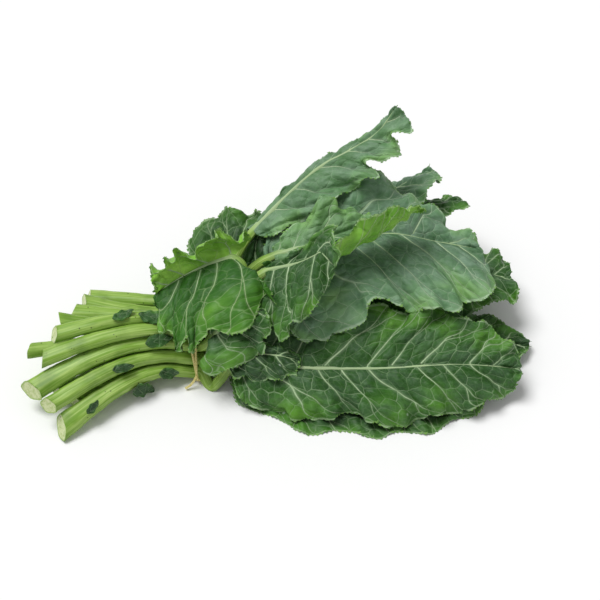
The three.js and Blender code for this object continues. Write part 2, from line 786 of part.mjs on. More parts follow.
function lay(leaf, stations, pile) {
  orient(stations);
  const sheet = sheetOf(leaf, stations);
  const spineLift = new Float64Array(stations.length);
  const lift = new Float64Array(sheet.points.length);
  const fixed = stations.findIndex((s) => s.p.x >= NECK_X) + 1;
  const overAll = widened(pile.all);
  const overBlades = widened(pile.blades);
  let made;
  for (let pass = 0; pass < 8; pass++) {
    made = buildLeaf(leaf, stations, sheet, spineLift, lift);
    const need = shortfall(overAll, made.blade, sheet.points.length, CLEARANCE);
    const spineNeed = new Float64Array(stations.length);
    const ribNeed = shortfall(overBlades, made.stalk, stations.length, CLEARANCE);
    const between = stalkNeeds(stations, made.spine, pile.stalks, fixed);
    for (let k = fixed; k < stations.length; k++) spineNeed[k] = Math.max(ribNeed[k], between[k]);
    sheet.points.forEach((p, k) => {
      if (p.v === 0) spineNeed[p.station] = Math.max(spineNeed[p.station], need[k]);
    });
    const most = Math.max(...spineNeed, ...need);
    if (most < 0.05) break;
    relax(stations, sheet, spineLift, lift, spineNeed, need, fixed);
  }
  fill(pile.all, made.blade);
  fill(pile.all, made.stalk);
  fill(pile.blades, made.blade);
  pile.stalks.push(stations.map((s, k) => ({ p: made.spine[k], size: Math.max(s.a, s.b) })).slice(fixed - 1));
  return made;
}

// Spreads the lifts that are needed over the leaf, so that it bends in one sweep.
function relax(stations, sheet, spineLift, lift, spineNeed, need, fixed) {
  const spineFloor = spineLift.map((l, k) => l + spineNeed[k]);
  const floor = lift.map((l, k) => l + need[k]);
  for (let round = 0; round < SMOOTHING; round++) {
    const oldSpine = spineLift.slice();
    for (let k = fixed; k < stations.length; k++) {
      const next = oldSpine[Math.min(k + 1, stations.length - 1)];
      spineLift[k] = Math.max(spineFloor[k], (oldSpine[k - 1] + oldSpine[k] + next) / 3);
    }
    const old = lift.slice();
    sheet.points.forEach((p, k) => {
      if (p.v === 0) {
        lift[k] = spineLift[p.station];
        return;
      }
      const mean = p.nearby.reduce((sum, q) => sum + old[q], 0) / p.nearby.length;
      lift[k] = Math.max(floor[k], mean);
    });
  }
}

// How far each station of a rib must move out to clear the stalks and ribs laid before it.
function stalkNeeds(stations, spine, others, fixed) {
  const needs = new Float64Array(stations.length);
  for (let k = fixed - 1; k + 1 < stations.length; k++) {
    for (const share of k < fixed ? [0.6, 0.8, 1] : [0, 0.33, 0.67, 1]) {
      const p = spine[k].clone().lerp(spine[k + 1], share);
      const need = stalkNeed(Math.max(stations[k].a, stations[k + 1].a), p, others);
      needs[k] = Math.max(needs[k], need);
      needs[k + 1] = Math.max(needs[k + 1], need);
    }
  }
  return needs;
}

function stalkNeed(radius, p, others) {
  const out = outwards(p);
  let need = 0;
  for (const line of others) {
    for (let k = 0; k + 1 < line.length; k++) {
      const segment = new THREE.Line3(line[k].p, line[k + 1].p);
      const t = segment.closestPointToPointParameter(p, true);
      const apart = p.clone().sub(segment.at(t, new THREE.Vector3()));
      const room = radius + lerp(line[k].size, line[k + 1].size, t) + STALK_GAP;
      const high = apart.dot(out);
      const sideways = Math.sqrt(Math.max(0, apart.lengthSq() - high * high));
      if (sideways < room) need = Math.max(need, Math.sqrt(room * room - sideways * sideways) - high);
    }
  }
  return need;
}

function buildLeaf(leaf, stations, sheet, spineLift, lift) {
  const spine = stations.map((s, k) => s.p.clone().addScaledVector(outwards(s.p), spineLift[k]));
  const positions = sheet.points.map(({ point, station, v }, k) => {
    const out = v === 0 ? outwards(stations[station].p) : outwards(point);
    const p = point.clone().addScaledVector(out, lift[k]);
    p.z = Math.max(p.z, FLOOR);
    return p;
  });
  return {
    spine,
    blade: thicken(positions, sheet.triangles, BLADE_THICK),
    stalk: tube(stalkRings(stations, spine, leaf.cut ?? [0, 0])),
  };
}

// ---- The tie ----

// The outline of all the stalks across the bundle at the tie, seen along it and grown by the tie's own room.
function tieOutline(spines) {
  const grow = TIE.gap + TIE.strand;
  const points = [];
  for (const stations of spines) {
    for (const s of stations) {
      if (s.blade >= 0 || s.p.x < TIE_X - SLICE / 2 || s.p.x > NECK_X + 1) continue;
      for (let k = 0; k < 24; k++) {
        const turn = (2 * Math.PI * k) / 24;
        const z = Math.max(s.p.z + (s.b + grow) * Math.sin(turn), TIE.strand + 0.2);
        points.push([s.p.y + (s.a + grow) * Math.cos(turn), z]);
      }
    }
  }
  return evenly(hull(points), TIE.steps);
}

function hull(points) {
  const sorted = [...points].sort((p, q) => p[0] - q[0] || p[1] - q[1]);
  const half = (list) => {
    const chain = [];
    for (const p of list) {
      while (chain.length > 1 && turnOf(chain.at(-2), chain.at(-1), p) <= 0) chain.pop();
      chain.push(p);
    }
    return chain.slice(0, -1);
  };
  return [...half(sorted), ...half(sorted.reverse())];
}

function turnOf(o, p, q) {
  return (p[0] - o[0]) * (q[1] - o[1]) - (p[1] - o[1]) * (q[0] - o[0]);
}

// Points at even spacing round a closed outline.
function evenly(outline, count) {
  const lengths = outline.map((p, k) => {
    const next = outline[(k + 1) % outline.length];
    return Math.hypot(next[0] - p[0], next[1] - p[1]);
  });
  const total = lengths.reduce((sum, l) => sum + l, 0);
  const result = [];
  let k = 0;
  let passed = 0;
  for (let i = 0; i < count; i++) {
    const target = (total * i) / count;
    while (passed + lengths[k] < target) passed += lengths[k++];
    const next = outline[(k + 1) % outline.length];
    const share = (target - passed) / lengths[k];
    result.push([lerp(outline[k][0], next[0], share), lerp(outline[k][1], next[1], share)]);
  }
  return result;
}

// A round strand along points, closed into a loop or with two flat ends.
function strand(path, closed) {
  const count = path.length;
  const rings = path.map((p, k) => {
    const next = path[closed ? (k + 1) % count : Math.min(k + 1, count - 1)];
    const last = path[closed ? (k + count - 1) % count : Math.max(k - 1, 0)];
    const along = next.clone().sub(last).normalize();
    const side = new THREE.Vector3(1, 0, 0).addScaledVector(along, -along.x).normalize();
    const out = new THREE.Vector3().crossVectors(side, along);
    return Array.from({ length: TIE.sides }, (_, i) => {
      const turn = (2 * Math.PI * i) / TIE.sides;
      return p
        .clone()
        .addScaledVector(side, TIE.strand * Math.cos(turn))
        .addScaledVector(out, TIE.strand * Math.sin(turn));
    });
  });
  if (!closed) return tube(rings);
  const vertices = rings.flat();
  const faces = [];
  for (let r = 0; r < count; r++) {
    for (let k = 0; k < TIE.sides; k++) {
      const [a, b] = [r, (r + 1) % count].map((ring) => ring * TIE.sides);
      const next = (k + 1) % TIE.sides;
      faces.push([a + k, b + k, a + next], [a + next, b + k, b + next]);
    }
  }
  return { vertices, faces };
}

function tieSolid(spines) {
  const outline = tieOutline(spines);
  const parts = TIE.leans.map((lean) =>
    strand(outline.map(([y, z]) => new THREE.Vector3(TIE.x + lean * (z - TIE.crossing), y, z)), true),
  );
  parts.push(strand(TIE_TAIL.map((p) => new THREE.Vector3(...p)), false));
  const whole = parts.map(manifoldOf).reduce((sum, part) => sum.add(part));
  const mesh = whole.getMesh();
  const vertices = [];
  for (let k = 0; k < mesh.numVert; k++) {
    vertices.push(new THREE.Vector3(...mesh.vertProperties.slice(k * mesh.numProp, k * mesh.numProp + 3)));
  }
  const faces = [];
  for (let k = 0; k < mesh.numTri; k++) faces.push([...mesh.triVerts.slice(3 * k, 3 * k + 3)]);
  return { vertices, faces };
}

// ---- Leaflets on the stalks ----

// A small blade that springs from a stalk's skin and lies along the stalks beside it.
function leafletSolid(leaflet, spine, stalks) {
  const k = spine.findIndex((s) => s.p.x >= leaflet.x);
  const [s, t] = [spine[k - 1], spine[k]];
  const share = (leaflet.x - s.p.x) / (t.p.x - s.p.x);
  const turn = radians(leaflet.turn);
  const along = t.p.clone().sub(s.p).normalize();
  const out = s.up.clone().multiplyScalar(Math.cos(turn)).addScaledVector(s.front, Math.sin(turn));
  const across = new THREE.Vector3().crossVectors(along, out);
  const reach = Math.hypot(lerp(s.a, t.a, share) * Math.sin(turn), lerp(s.b, t.b, share) * Math.cos(turn));
  const root = s.p.clone().lerp(t.p, share).addScaledVector(out, reach + LEAFLET.gap);
  const aim = radians(leaflet.aim);
  const ahead = along.clone().multiplyScalar(Math.cos(aim)).addScaledVector(across, Math.sin(aim));
  const aside = new THREE.Vector3().crossVectors(out, ahead);
  const positions = [];
  const triangles = [];
  for (let i = 0; i <= LEAFLET.steps; i++) {
    const u = i / LEAFLET.steps;
    const half = leaflet.width * (0.12 + 0.88 * Math.sin(Math.PI * u ** 0.8) ** 0.7) * (i % 2 ? 1 : 0.84);
    for (let j = -2; j <= 2; j++) {
      const v = j / 2;
      const wave = LEAFLET.wave * leaflet.width * v * v * Math.sin(9 * u + 3 * v);
      const lift = leaflet.lift * Math.sin(1.9 * u) + wave;
      positions.push(
        root
          .clone()
          .addScaledVector(ahead, u * leaflet.length)
          .addScaledVector(aside, (v * half) / 2)
          .addScaledVector(out, lift),
      );
    }
  }
  for (let i = 0; i < LEAFLET.steps; i++) {
    for (let j = 0; j < 4; j++) {
      const a = i * 5 + j;
      triangles.push([a, a + 5, a + 1], [a + 1, a + 5, a + 6]);
    }
  }
  for (let pass = 0; pass < 4; pass++) {
    const solid = thicken(positions, triangles, BLADE_THICK);
    const need = shortfall(stalks, solid, positions.length, LEAFLET.gap);
    positions.forEach((p, i) => p.addScaledVector(outwards(p), need[i]));
  }
  positions.forEach((p) => (p.z = Math.max(p.z, FLOOR)));
  return thicken(positions, triangles, BLADE_THICK);
}

// ---- The whole bunch ----

function manifoldOf({ vertices, faces }) {
  const merged = mergeVertices(geometryOf({ vertices, faces }), 1e-4);
  return new wasm.Manifold(
    new wasm.Mesh({
      numProp: 3,
      vertProperties: merged.getAttribute("position").array,
      triVerts: new Uint32Array(merged.index.array),
    }),
  );
}

function geometryOf({ vertices, faces }) {
  const geometry = new THREE.BufferGeometry();
  const flat = vertices.flatMap((v) => [v.x, v.y, v.z]);
  geometry.setAttribute("position", new THREE.Float32BufferAttribute(flat, 3));
  geometry.setIndex(faces.flat());
  return geometry;
}

function meshOf(name, solid, colour, roughness) {
  const material = new THREE.MeshStandardMaterial({ color: COLOURS[colour], roughness, metalness: 0 });
  const mesh = new THREE.Mesh(geometryOf(solid), material);
  mesh.name = name;
  return mesh;
}

const bunch = new THREE.Group();
const pile = { all: emptyMap(), blades: emptyMap(), stalks: [] };
const runs = packStalks(LEAVES);
const spines = LEAVES.map((leaf, k) => spineOf(leaf, runs[k]));
spread(spines);

const tie = tieSolid(spines);
fill(pile.all, tie);
const stalkTops = emptyMap();
fill(stalkTops, tie);
LEAVES.forEach((leaf, k) => {
  const made = lay(leaf, spines[k], pile);
  fill(stalkTops, made.stalk);
  bunch.add(meshOf(`${leaf.name}_stalk`, made.stalk, "stalk", 0.55));
  bunch.add(meshOf(`${leaf.name}_blade`, made.blade, leaf.colour, 0.6));
});
LEAFLETS.forEach((leaflet, k) => {
  const spine = spines[LEAVES.findIndex((leaf) => leaf.name === leaflet.on)];
  bunch.add(meshOf(`leaflet_${k + 1}`, leafletSolid(leaflet, spine, stalkTops), leaflet.colour, 0.6));
});
bunch.add(meshOf("tie", tie, "tie", 0.7));

// The part's frame starts at the middle of its footprint, on the table.
const box = new THREE.Box3().setFromObject(bunch);
const middle = box.getCenter(new THREE.Vector3());
for (const mesh of bunch.children) mesh.geometry.translate(-middle.x, -middle.y, -box.min.z);

export default bunch;
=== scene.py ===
import bpy
import json
import math
import numpy as np
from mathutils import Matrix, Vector
from mathutils.bvhtree import BVHTree


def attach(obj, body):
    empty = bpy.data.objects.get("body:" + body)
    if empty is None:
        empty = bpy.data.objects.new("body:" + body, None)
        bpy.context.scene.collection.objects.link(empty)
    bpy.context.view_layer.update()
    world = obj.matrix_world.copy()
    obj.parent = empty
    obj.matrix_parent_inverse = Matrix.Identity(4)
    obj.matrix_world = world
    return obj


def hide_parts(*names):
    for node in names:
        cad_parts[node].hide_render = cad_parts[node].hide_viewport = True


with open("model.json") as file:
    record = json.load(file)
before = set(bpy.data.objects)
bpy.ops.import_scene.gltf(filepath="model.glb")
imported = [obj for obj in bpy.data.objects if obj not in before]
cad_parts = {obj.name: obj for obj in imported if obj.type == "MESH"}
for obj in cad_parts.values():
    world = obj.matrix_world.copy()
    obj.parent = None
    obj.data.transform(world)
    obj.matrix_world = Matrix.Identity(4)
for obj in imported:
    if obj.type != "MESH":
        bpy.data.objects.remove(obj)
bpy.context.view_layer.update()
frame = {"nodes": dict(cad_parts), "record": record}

nodes = frame["nodes"]
leafNames = [name.removesuffix("_blade") for name in nodes if name.endswith("_blade")]
print("frame: %d leaves" % len(leafNames))


def addObject(name, data):
    made = bpy.data.objects.new(name, data)
    bpy.context.collection.objects.link(made)
    return made


def pointsOf(mesh):
    co = np.empty(len(mesh.vertices) * 3)
    mesh.vertices.foreach_get("co", co)
    return co.reshape(-1, 3)


def shadeSmooth(mesh, smooth=True):
    mesh.polygons.foreach_set("use_smooth", np.full(len(mesh.polygons), smooth))


def addUv(mesh, name, uv):
    layer = mesh.uv_layers.new(name=name)
    corner = np.empty(len(mesh.loops), np.int32)
    mesh.loops.foreach_get("vertex_index", corner)
    layer.data.foreach_set("uv", uv[corner].astype(np.float32).ravel())


def addValues(mesh, name, values):  # a number or a direction at each point
    values = np.asarray(values, np.float32)
    isVector = values.ndim == 2
    layer = mesh.attributes.new(name, "FLOAT_VECTOR" if isVector else "FLOAT", "POINT")
    layer.data.foreach_set("vector" if isVector else "value", values.ravel())


layout = {
    "steps": 15,  # rows along a blade
    "across": 3,  # rows out to the margin
    "notch": 13,  # beyond this row the halves are joined
    "stalkSides": 7, "bladeThick": 0.0008, "ribGap": 0.0008, "ribSink": 0.4,
    "axisDepth": 0.140,  # "outwards" is measured from a line this far under the table
    "axisShift": 0.0075,  # and this far in front of the middle
    "sameCorner": 2e-6, "wallSlack": 2e-7,
    "flatEnd": 0.9995,  # cosine between directions on the same flat end
}


def meshOf(node):  # corner points and triangles, with equal corners made one
    mesh = nodes[node].data
    co = pointsOf(mesh)
    mesh.calc_loop_triangles()
    tris = np.empty(len(mesh.loop_triangles) * 3, np.int32)
    mesh.loop_triangles.foreach_get("vertices", tris)
    keys = np.round(co / layout["sameCorner"]).astype(np.int64)
    first, same = np.unique(keys, axis=0, return_index=True, return_inverse=True)[1:]
    return co[first], same.reshape(-1)[tris.reshape(-1, 3)]


def normalized(v):
    return v / np.maximum(np.linalg.norm(v, axis=-1, keepdims=True), 1e-12)


def capFrom(seed, tris, normals):  # the flat end that a triangle belongs to
    cap = {seed}
    grown = True
    while grown:
        grown = False
        members = set(tris[list(cap)].ravel())
        for t in range(len(tris)):
            joined = t not in cap and len(members & set(tris[t])) >= 2
            if joined and normals[t] @ normals[seed] > layout["flatEnd"]:
                cap.add(t)
                grown = True
    return cap


def ringsOf(points, tris):  # the stalk's sections, from the cut end to the rib's end
    a, b, c = (points[tris[:, k]] for k in range(3))
    normals = normalized(np.cross(b - a, c - a))
    start = int(points[:, 0].argmin())
    touching = [t for t in range(len(tris)) if start in tris[t]]
    ends = [set(tris[list(capFrom(t, tris, normals))].ravel()) for t in touching]
    ends = [end for end in ends if len(end) == layout["stalkSides"]]
    ring = min(ends, key=lambda end: np.ptp(points[list(end)], axis=0).max())
    links = [set() for p in points]
    for t in tris:
        for k in t:
            links[k] |= set(t) - {k}
    rings = []
    used = set()
    while ring:
        rings.append(sorted(ring))
        used |= ring
        ring = set().union(*(links[k] for k in ring)) - used
    return rings


def spineOf(name):  # middle and half sizes of each section, and its directions
    points, tris = meshOf(name + "_stalk")
    rings = ringsOf(points, tris)
    middle = np.array([points[r].mean(0) for r in rings])
    along = normalized(np.gradient(middle, axis=0))
    out = middle + [0, layout["axisShift"], layout["axisDepth"]]
    out[:, 0] = 0
    up = normalized(out - along * (out * along).sum(1, keepdims=True))
    front = np.cross(along, up)

    def halfSizes(directions):
        each = zip(rings, middle, directions)
        return np.array([math.sqrt(2 * (((points[r] - m) @ d) ** 2).mean()) for r, m, d in each])

    sizes = {"a": halfSizes(front), "b": halfSizes(up)}
    return {"middle": middle, "up": up, "front": front, "cutEnd": points[rings[0]], **sizes}


def sheetPattern():  # the blade's corners and triangles as it is divided, by side, row and place
    steps, across, notch = layout["steps"], layout["across"], layout["notch"]
    corners = {}
    tris = []

    def at(*key):
        return corners.setdefault(key, len(corners))

    for side in (1, -1):
        rows = []
        margin = []
        for i in range(steps):
            inner = at(side, i, 0) if i < notch else at(0, i, 0)
            rows.append([inner] + [at(side, i, j) for j in range(1, across + 1)])
            margin.append(at(side, i, "m"))
        rows.append([at(0, steps, 0)] * (across + 1))
        for i in range(steps):
            here, further = rows[i], rows[i + 1]
            faces = []
            for j in range(across - 1):
                faces += [(here[j], here[j + 1], further[j]), (here[j + 1], further[j + 1], further[j])]
            faces += [(here[-2], here[-1], margin[i]), (here[-2], margin[i], further[-2])]
            faces.append((margin[i], further[-1], further[-2]))
            for f in faces:
                if len(set(f)) == 3:
                    tris.append((f[0], f[2], f[1]) if side > 0 else f)
    return corners, tris


def turns(t):  # a triangle's corners, begun at each of them in turn
    return [(t[k], t[(k + 1) % 3], t[(k + 2) % 3]) for k in range(3)]


def edgeLoop(tris):  # the open edge as one ordered loop
    edges = {(a, b): True for t in tris for a, b, c in turns(t)}
    following = {a: b for a, b in edges if (b, a) not in edges}
    loop = [next(iter(following))]
    while following[loop[-1]] != loop[0]:
        loop.append(following[loop[-1]])
    return loop


def faceSheets(points, tris):  # the solid's two faces, without the walls between them
    def isWall(t):  # only a wall has an edge as long as the blade is thick
        lengths = (np.linalg.norm(points[a] - points[b]) for a, b, c in turns(t))
        return any(abs(length - layout["bladeThick"]) < layout["wallSlack"] for length in lengths)

    kept = [tuple(int(k) for k in t) for t in tris if not isWall(t)]
    byEdge = {}
    for n, t in enumerate(kept):
        for a, b, c in turns(t):
            byEdge.setdefault(frozenset((a, b)), []).append(n)
    seen = set()
    sheets = []
    for n in range(len(kept)):
        if n in seen:
            continue
        seen.add(n)
        stack = [n]
        found = []
        while stack:
            t = kept[stack.pop()]
            found.append(t)
            for a, b, c in turns(t):
                for other in byEdge[frozenset((a, b))]:
                    if other not in seen:
                        seen.add(other)
                        stack.append(other)
        sheets.append(found)
    return sorted(sheets, key=len)[-2:]


def matchSheet(sheet, points, ribPoints, flip):  # which corner of the mesh is which of the pattern
    corners, tris = pattern
    names = {v: k for k, v in corners.items()}
    ours = [(t[0], t[2], t[1]) for t in tris] if flip else tris
    loop = edgeLoop(ours)
    actual = edgeLoop(sheet)
    if len(loop) != len(actual):
        return math.inf, None
    wanted = [(k, ribPoints[names[c]]) for k, c in enumerate(loop) if names[c] in ribPoints]

    def missedBy(shift):  # how far the rib's corners are off, with one loop shifted along the other
        return sum(np.linalg.norm(points[actual[(k + shift) % len(loop)]] - p) for k, p in wanted)

    best = min(range(len(loop)), key=missedBy)
    match = {c: actual[(k + best) % len(loop)] for k, c in enumerate(loop)}
    third = {(a, b): c for t in sheet for a, b, c in turns(t)}
    waiting = list(ours)
    while waiting:
        left = []
        for t in waiting:
            for a, b, c in turns(t):
                if a in match and b in match:
                    match.setdefault(c, third.get((match[a], match[b])))
                    break
            else:
                left.append(t)
        if len(left) == len(waiting):
            return math.inf, None
        waiting = left
    if None in match.values():
        return math.inf, None
    return missedBy(best), match


def bladeOf(name, spine):  # the blade's mid-plane corners by side, row and place
    points, tris = meshOf(name + "_blade")
    notch = layout["notch"]
    ribPoints = {}
    for i in range(notch):
        k = len(spine["middle"]) - notch + i
        station = spine["middle"][k] + spine["up"][k] * layout["ribSink"] * spine["b"][k]
        for side in (1, -1):
            reach = spine["a"][k] + layout["ribGap"]
            ribPoints[(side, i, 0)] = station + side * spine["front"][k] * reach
    found = []
    for sheet in faceSheets(points, tris):
        tries = [matchSheet(sheet, points, ribPoints, flip) for flip in (False, True)]
        found.append(min(tries, key=lambda tried: tried[0])[1])
    if None in found:
        raise RuntimeError("blade " + name + " isn't divided as expected")
    upper, lower = found
    return {key: (points[upper[c]] + points[lower[c]]) / 2 for key, c in pattern[0].items()}


pattern = sheetPattern()
slotOf = {part["node"]: part["material_slot"] for part in frame["record"]["subparts"]}
spines = {name: spineOf(name) for name in leafNames}
blades = {name: bladeOf(name, spines[name]) for name in leafNames}
print("read the leaves' rows")


def curveThrough(points, t, rows=...):  # smooth curve through points at 0, 1, 2 ..., read at t
    padded = np.concatenate([[2 * points[0] - points[1]], points, [2 * points[-1] - points[-2]]])
    k = np.clip(np.floor(t).astype(int), 0, len(points) - 2)
    p0, p1, p2, p3 = (padded[k + n, rows] for n in range(4))
    f = (t - k).reshape((-1,) + (1,) * (p0.ndim - 1))
    squared = (2 * p0 - 5 * p1 + 4 * p2 - p3) * f ** 2
    cubed = (3 * p1 - p0 - 3 * p2 + p3) * f ** 3
    return 0.5 * (2 * p1 + (p2 - p0) * f + squared + cubed)


def smoothStep(low, high, x):
    t = np.clip((x - low) / (high - low), 0, 1)
    return t * t * (3 - 2 * t)


def lengthsAlong(points):  # distance run along the first axis
    steps = np.linalg.norm(np.diff(points, axis=0), axis=-1)
    return np.concatenate([np.zeros_like(steps[:1]), np.cumsum(steps, axis=0)])


def waver(t, seed, octaves=3):  # smooth noise on a line, about -1 to 1
    rng = np.random.default_rng(seed)
    value = np.zeros_like(t)
    for n in range(octaves):
        rate = 2.0 ** n * rng.uniform(0.8, 1.2)
        value += np.sin(2 * math.pi * (rate * t + rng.random())) / 1.6 ** n
    return value / 2


def scattered(mixed, scale=43758.5453):  # looks random, from 0 to 1, and is the same each run
    return np.abs(np.sin(mixed) * scale) % 1


def meshFrom(name, points, edges, faces):
    mesh = bpy.data.meshes.new(name)
    mesh.from_pydata(points, edges, faces)
    return mesh


def meshPiece(name, co, faces, uvs, values, sharp):  # edges within one group of sharp are hard
    mesh = meshFrom(name, co.tolist(), [], faces)
    for key, uv in uvs.items():
        addUv(mesh, key, uv)
    for key, value in values.items():
        addValues(mesh, key, value)
    shadeSmooth(mesh)
    ends = np.empty(len(mesh.edges) * 2, np.int32)
    mesh.edges.foreach_get("vertices", ends)
    first, second = sharp[ends.reshape(-1, 2)].T
    layer = mesh.attributes.new("sharp_edge", "BOOLEAN", "EDGE")
    layer.data.foreach_set("value", (first > 0) & (first == second))
    mesh.update()
    return addObject(name, mesh)


leaf = {
    "rowLength": 0.0014,
    "columns": 26,  # each side of the midrib
    "lastRow": 0.988,  # share of the length where the rows end
    "thick": 0.0005,
    "thinned": 0.4,  # share of the thickness lost at the margin
    "puff": 0.0026,  # how high the blade swells between its side veins
    "puffWidth": 0.0055,
    "pucker": 0.0015,  # smaller swellings between the net of fine veins
    "puckerSize": 0.0085, "puckerEdge": 0.55, "ruffle": 0.0046, "ruffleLength": 0.021,
    "ruffleStretch": 1.5, "lobe": 0.0042, "lobeLength": 0.029, "lobeMiddle": 0.75,
    "lobeUneven": 0.35,  # how unevenly the lobes are spaced
    "lobeUnevenLength": 0.07, "tooth": 0.0009, "toothLength": 0.0046, "toothPeak": 0.35,
    "toothUneven": 0.6, "toothUnevenLength": 0.03,
    "leastWidth": 0.004,  # of a half, for its teeth and lobes
    "secondMargin": 0.3,  # how far on the waves of the other half's margin start
    "room": 0.5,  # share of the free space to the next leaf that a swelling may take
    "searched": 0.012,  # how far free space is looked for
    "skipped": 0.0002, "smoothing": 4,
}
usualLook = {"paintedLightAndTone": (0, 0), "ruffle": (1, 1), "pucker": 1, "veined": 1, "lobe": 1}
ownLook = {  # how bright each half is drawn: painted light on halves that lie in the light, and on some leaves their own greener tone; veined is how plainly the side veins show
    "left_top": {"paintedLightAndTone": (0.95, 0), "ruffle": (1.6, 1.1), "pucker": 0.7, "veined": 0.75, "lobe": 0.45},
    "left_under": {"lobe": 0.7},
    "curled": {"paintedLightAndTone": (0.75, 0.75), "ruffle": (1.4, 1.4), "veined": 0.7},
    "middle_top": {"paintedLightAndTone": (0.14, 0.14), "veined": 0.6},
    "middle_front": {"lobe": 0.5},
    "upright": {"paintedLightAndTone": (0.06, 0.06), "pucker": 0.35, "veined": 0.4},
    "top_right": {"pucker": 0.6, "veined": 0.7},
    "floor_front": {"ruffle": (0.4, 0.4), "lobe": 0.35},
    "floor_middle": {"ruffle": (0.5, 0.5), "lobe": 0.5},
    "floor_back": {"lobe": 0.5},
}


def lookOf(name):
    return {**usualLook, **ownLook.get(name, {})}


def bladeRows(name, side):  # four places from the midrib to the margin, in each row
    blade = blades[name]
    rows = []
    for i in range(layout["steps"]):
        if i < layout["notch"]:
            middle = (blade[(1, i, 0)] + blade[(-1, i, 0)]) / 2
        else:
            middle = blade[(0, i, 0)]
        rows.append([middle] + [blade[(side, i, j)] for j in range(1, layout["across"] + 1)])
    rows.append([blade[(0, layout["steps"], 0)]] * (layout["across"] + 1))
    return np.array(rows)


def pushedOut(s, seed, lobeSize, reach):  # how far teeth and lobes move a place outwards
    uneven = leaf["toothUneven"] * waver(s / leaf["toothUnevenLength"], seed + 3)
    saw = (s / leaf["toothLength"] + uneven) % 1
    out = leaf["tooth"] * (1 - 1.6 * np.abs(saw - leaf["toothPeak"])) * smoothStep(0.9, 1, reach)
    uneven = leaf["lobeUneven"] * waver(s / leaf["lobeUnevenLength"], seed + 4)
    lobe = np.abs(np.sin(math.pi * (s / leaf["lobeLength"] + uneven))) ** 0.7 - leaf["lobeMiddle"]
    return out + leaf["lobe"] * lobeSize * lobe * smoothStep(0.6, 1, reach)


def fineBlade(name, seed):
    control = {side: bladeRows(name, side) for side in (1, -1)}
    length = lengthsAlong(control[1][:, 0])[-1]
    u = np.linspace(0, leaf["lastRow"], int(length / leaf["rowLength"]))
    v = np.linspace(-1, 1, 2 * leaf["columns"] + 1)
    grid = np.empty((len(u), len(v), 3))
    vFine = np.empty((len(u), len(v)))
    margin = np.empty((len(u), len(v)))
    for side in (1, -1):
        rows = curveThrough(control[side], u * layout["steps"])
        cross = np.swapaxes(rows, 0, 1)
        width = lengthsAlong(cross)[-1]
        edge = lengthsAlong(rows[:, -1]) + leaf["secondMargin"] * (side < 0)
        for c in np.flatnonzero(v > 0 if side > 0 else v <= 0):
            out = pushedOut(edge, seed, lookOf(name)["lobe"], abs(v[c]))
            there = abs(v[c]) + out / np.maximum(width, leaf["leastWidth"])
            vFine[:, c] = there * side
            margin[:, c] = edge
            grid[:, c] = curveThrough(cross, there * layout["across"], np.arange(len(u)))
    return grid, u, v, vFine, margin, length


def gridNormals(grid):
    return normalized(np.cross(np.gradient(grid, axis=1), np.gradient(grid, axis=0)))


def roomAround(name):  # the other leaves and stalks, to measure free space to
    co = []
    faces = []
    count = 0
    for other in nodes:
        if other not in (name + "_blade", name + "_stalk"):
            points, tris = meshOf(other)
            faces += (tris + count).tolist()
            co += points.tolist()
            count += len(points)
    return BVHTree.FromPolygons(co, faces)


def freeSpace(tree, grid, directions):
    space = np.full(grid.shape[:2], leaf["searched"])
    for index in np.ndindex(space.shape):
        direction = Vector(directions[index])
        start = Vector(grid[index]) + direction * leaf["skipped"]
        hit = tree.ray_cast(start, direction, leaf["searched"])
        if hit[3] is not None:
            space[index] = hit[3]
    for n in range(leaf["smoothing"]):  # smoothed, but nowhere raised
        padded = np.pad(space, 1, mode="edge")
        around = padded[:-2, 1:-1] + padded[2:, 1:-1] + padded[1:-1, :-2] + padded[1:-1, 2:]
        space = np.minimum(space, (around + space) / 5)
    return space


veining = {
    "perMetre": 36,  # side veins along the midrib
    "fewest": 4,
    "bend": 1.15,  # how far a side vein has run towards the tip at the margin, in vein gaps
    "bendPower": 1.15,
    "tipBend": 0.45,  # share of the bend lost at the tip
    "crowding": 0.92, "jitter": 0.45, "jitterLength": 0.085, "slowSway": 0.11, "quickSway": 0.05,
    "widestGap": 0.03,
    "forkFrom": (0.3, 0.68),  # where a side vein forks, as a share of the way out
    "forkSpread": 0.55,
}


def veinField(seed, grid, u, v, reach, length):  # which side vein is near, and how far off it is
    along = lengthsAlong(grid[:, grid.shape[1] // 2])[:, None]
    u = u[:, None]
    count = max(veining["fewest"], round(length * veining["perMetre"]))
    sideShift = np.where(v < 0, 0.5, 0.0)  # the two halves' veins alternate
    jitter = veining["jitter"] * waver(along / veining["jitterLength"], seed, 1) * np.where(v < 0, -1, 1)
    sway = veining["slowSway"] * np.sin(reach * 8 + 5 * sideShift + seed)
    sway = sway + veining["quickSway"] * np.sin(along * 150 + reach * 12)
    bend = veining["bend"] * reach ** veining["bendPower"] * (1 - veining["tipBend"] * u)
    place = u ** veining["crowding"] * count + jitter + sideShift + sway * reach - bend
    rowGap = np.maximum(np.linalg.norm(np.gradient(grid, axis=0), axis=-1), 1e-6)
    perMetre = np.abs(np.gradient(place, axis=0)) / rowGap
    spacing = 1 / np.maximum(perMetre, 1 / veining["widestGap"])
    cell = np.floor(place)
    chance = scattered(cell * 12.9898 + seed * 78.233 + 3 * sideShift)
    first, last = veining["forkFrom"]
    fork = np.maximum(0, reach - (first + chance * (last - first))) * veining["forkSpread"]
    away = np.abs(np.abs(place - cell - 0.5) - fork) * spacing
    return {"place": place, "spacing": spacing, "fork": fork, "away": away, "count": count}


ridge = {
    "thick": 0.00075,  # radius at the midrib
    "thin": 0.00016,  # and towards the margin
    "thinBy": 1.15, "sides": 6, "reach": 0.93,
    "fullAt": 0.016,  # closer side veins than this are thinner
    "faintest": 0.4,  # share of the radius where the veins show least
    "lift": 0.1,
    "branch": 0.8,  # share of the radius past a fork
    "jump": 0.3,  # a vein ends where it moves further than this between rows, in vein gaps
    "longestStep": 0.006, "fewestPoints": 4,
}


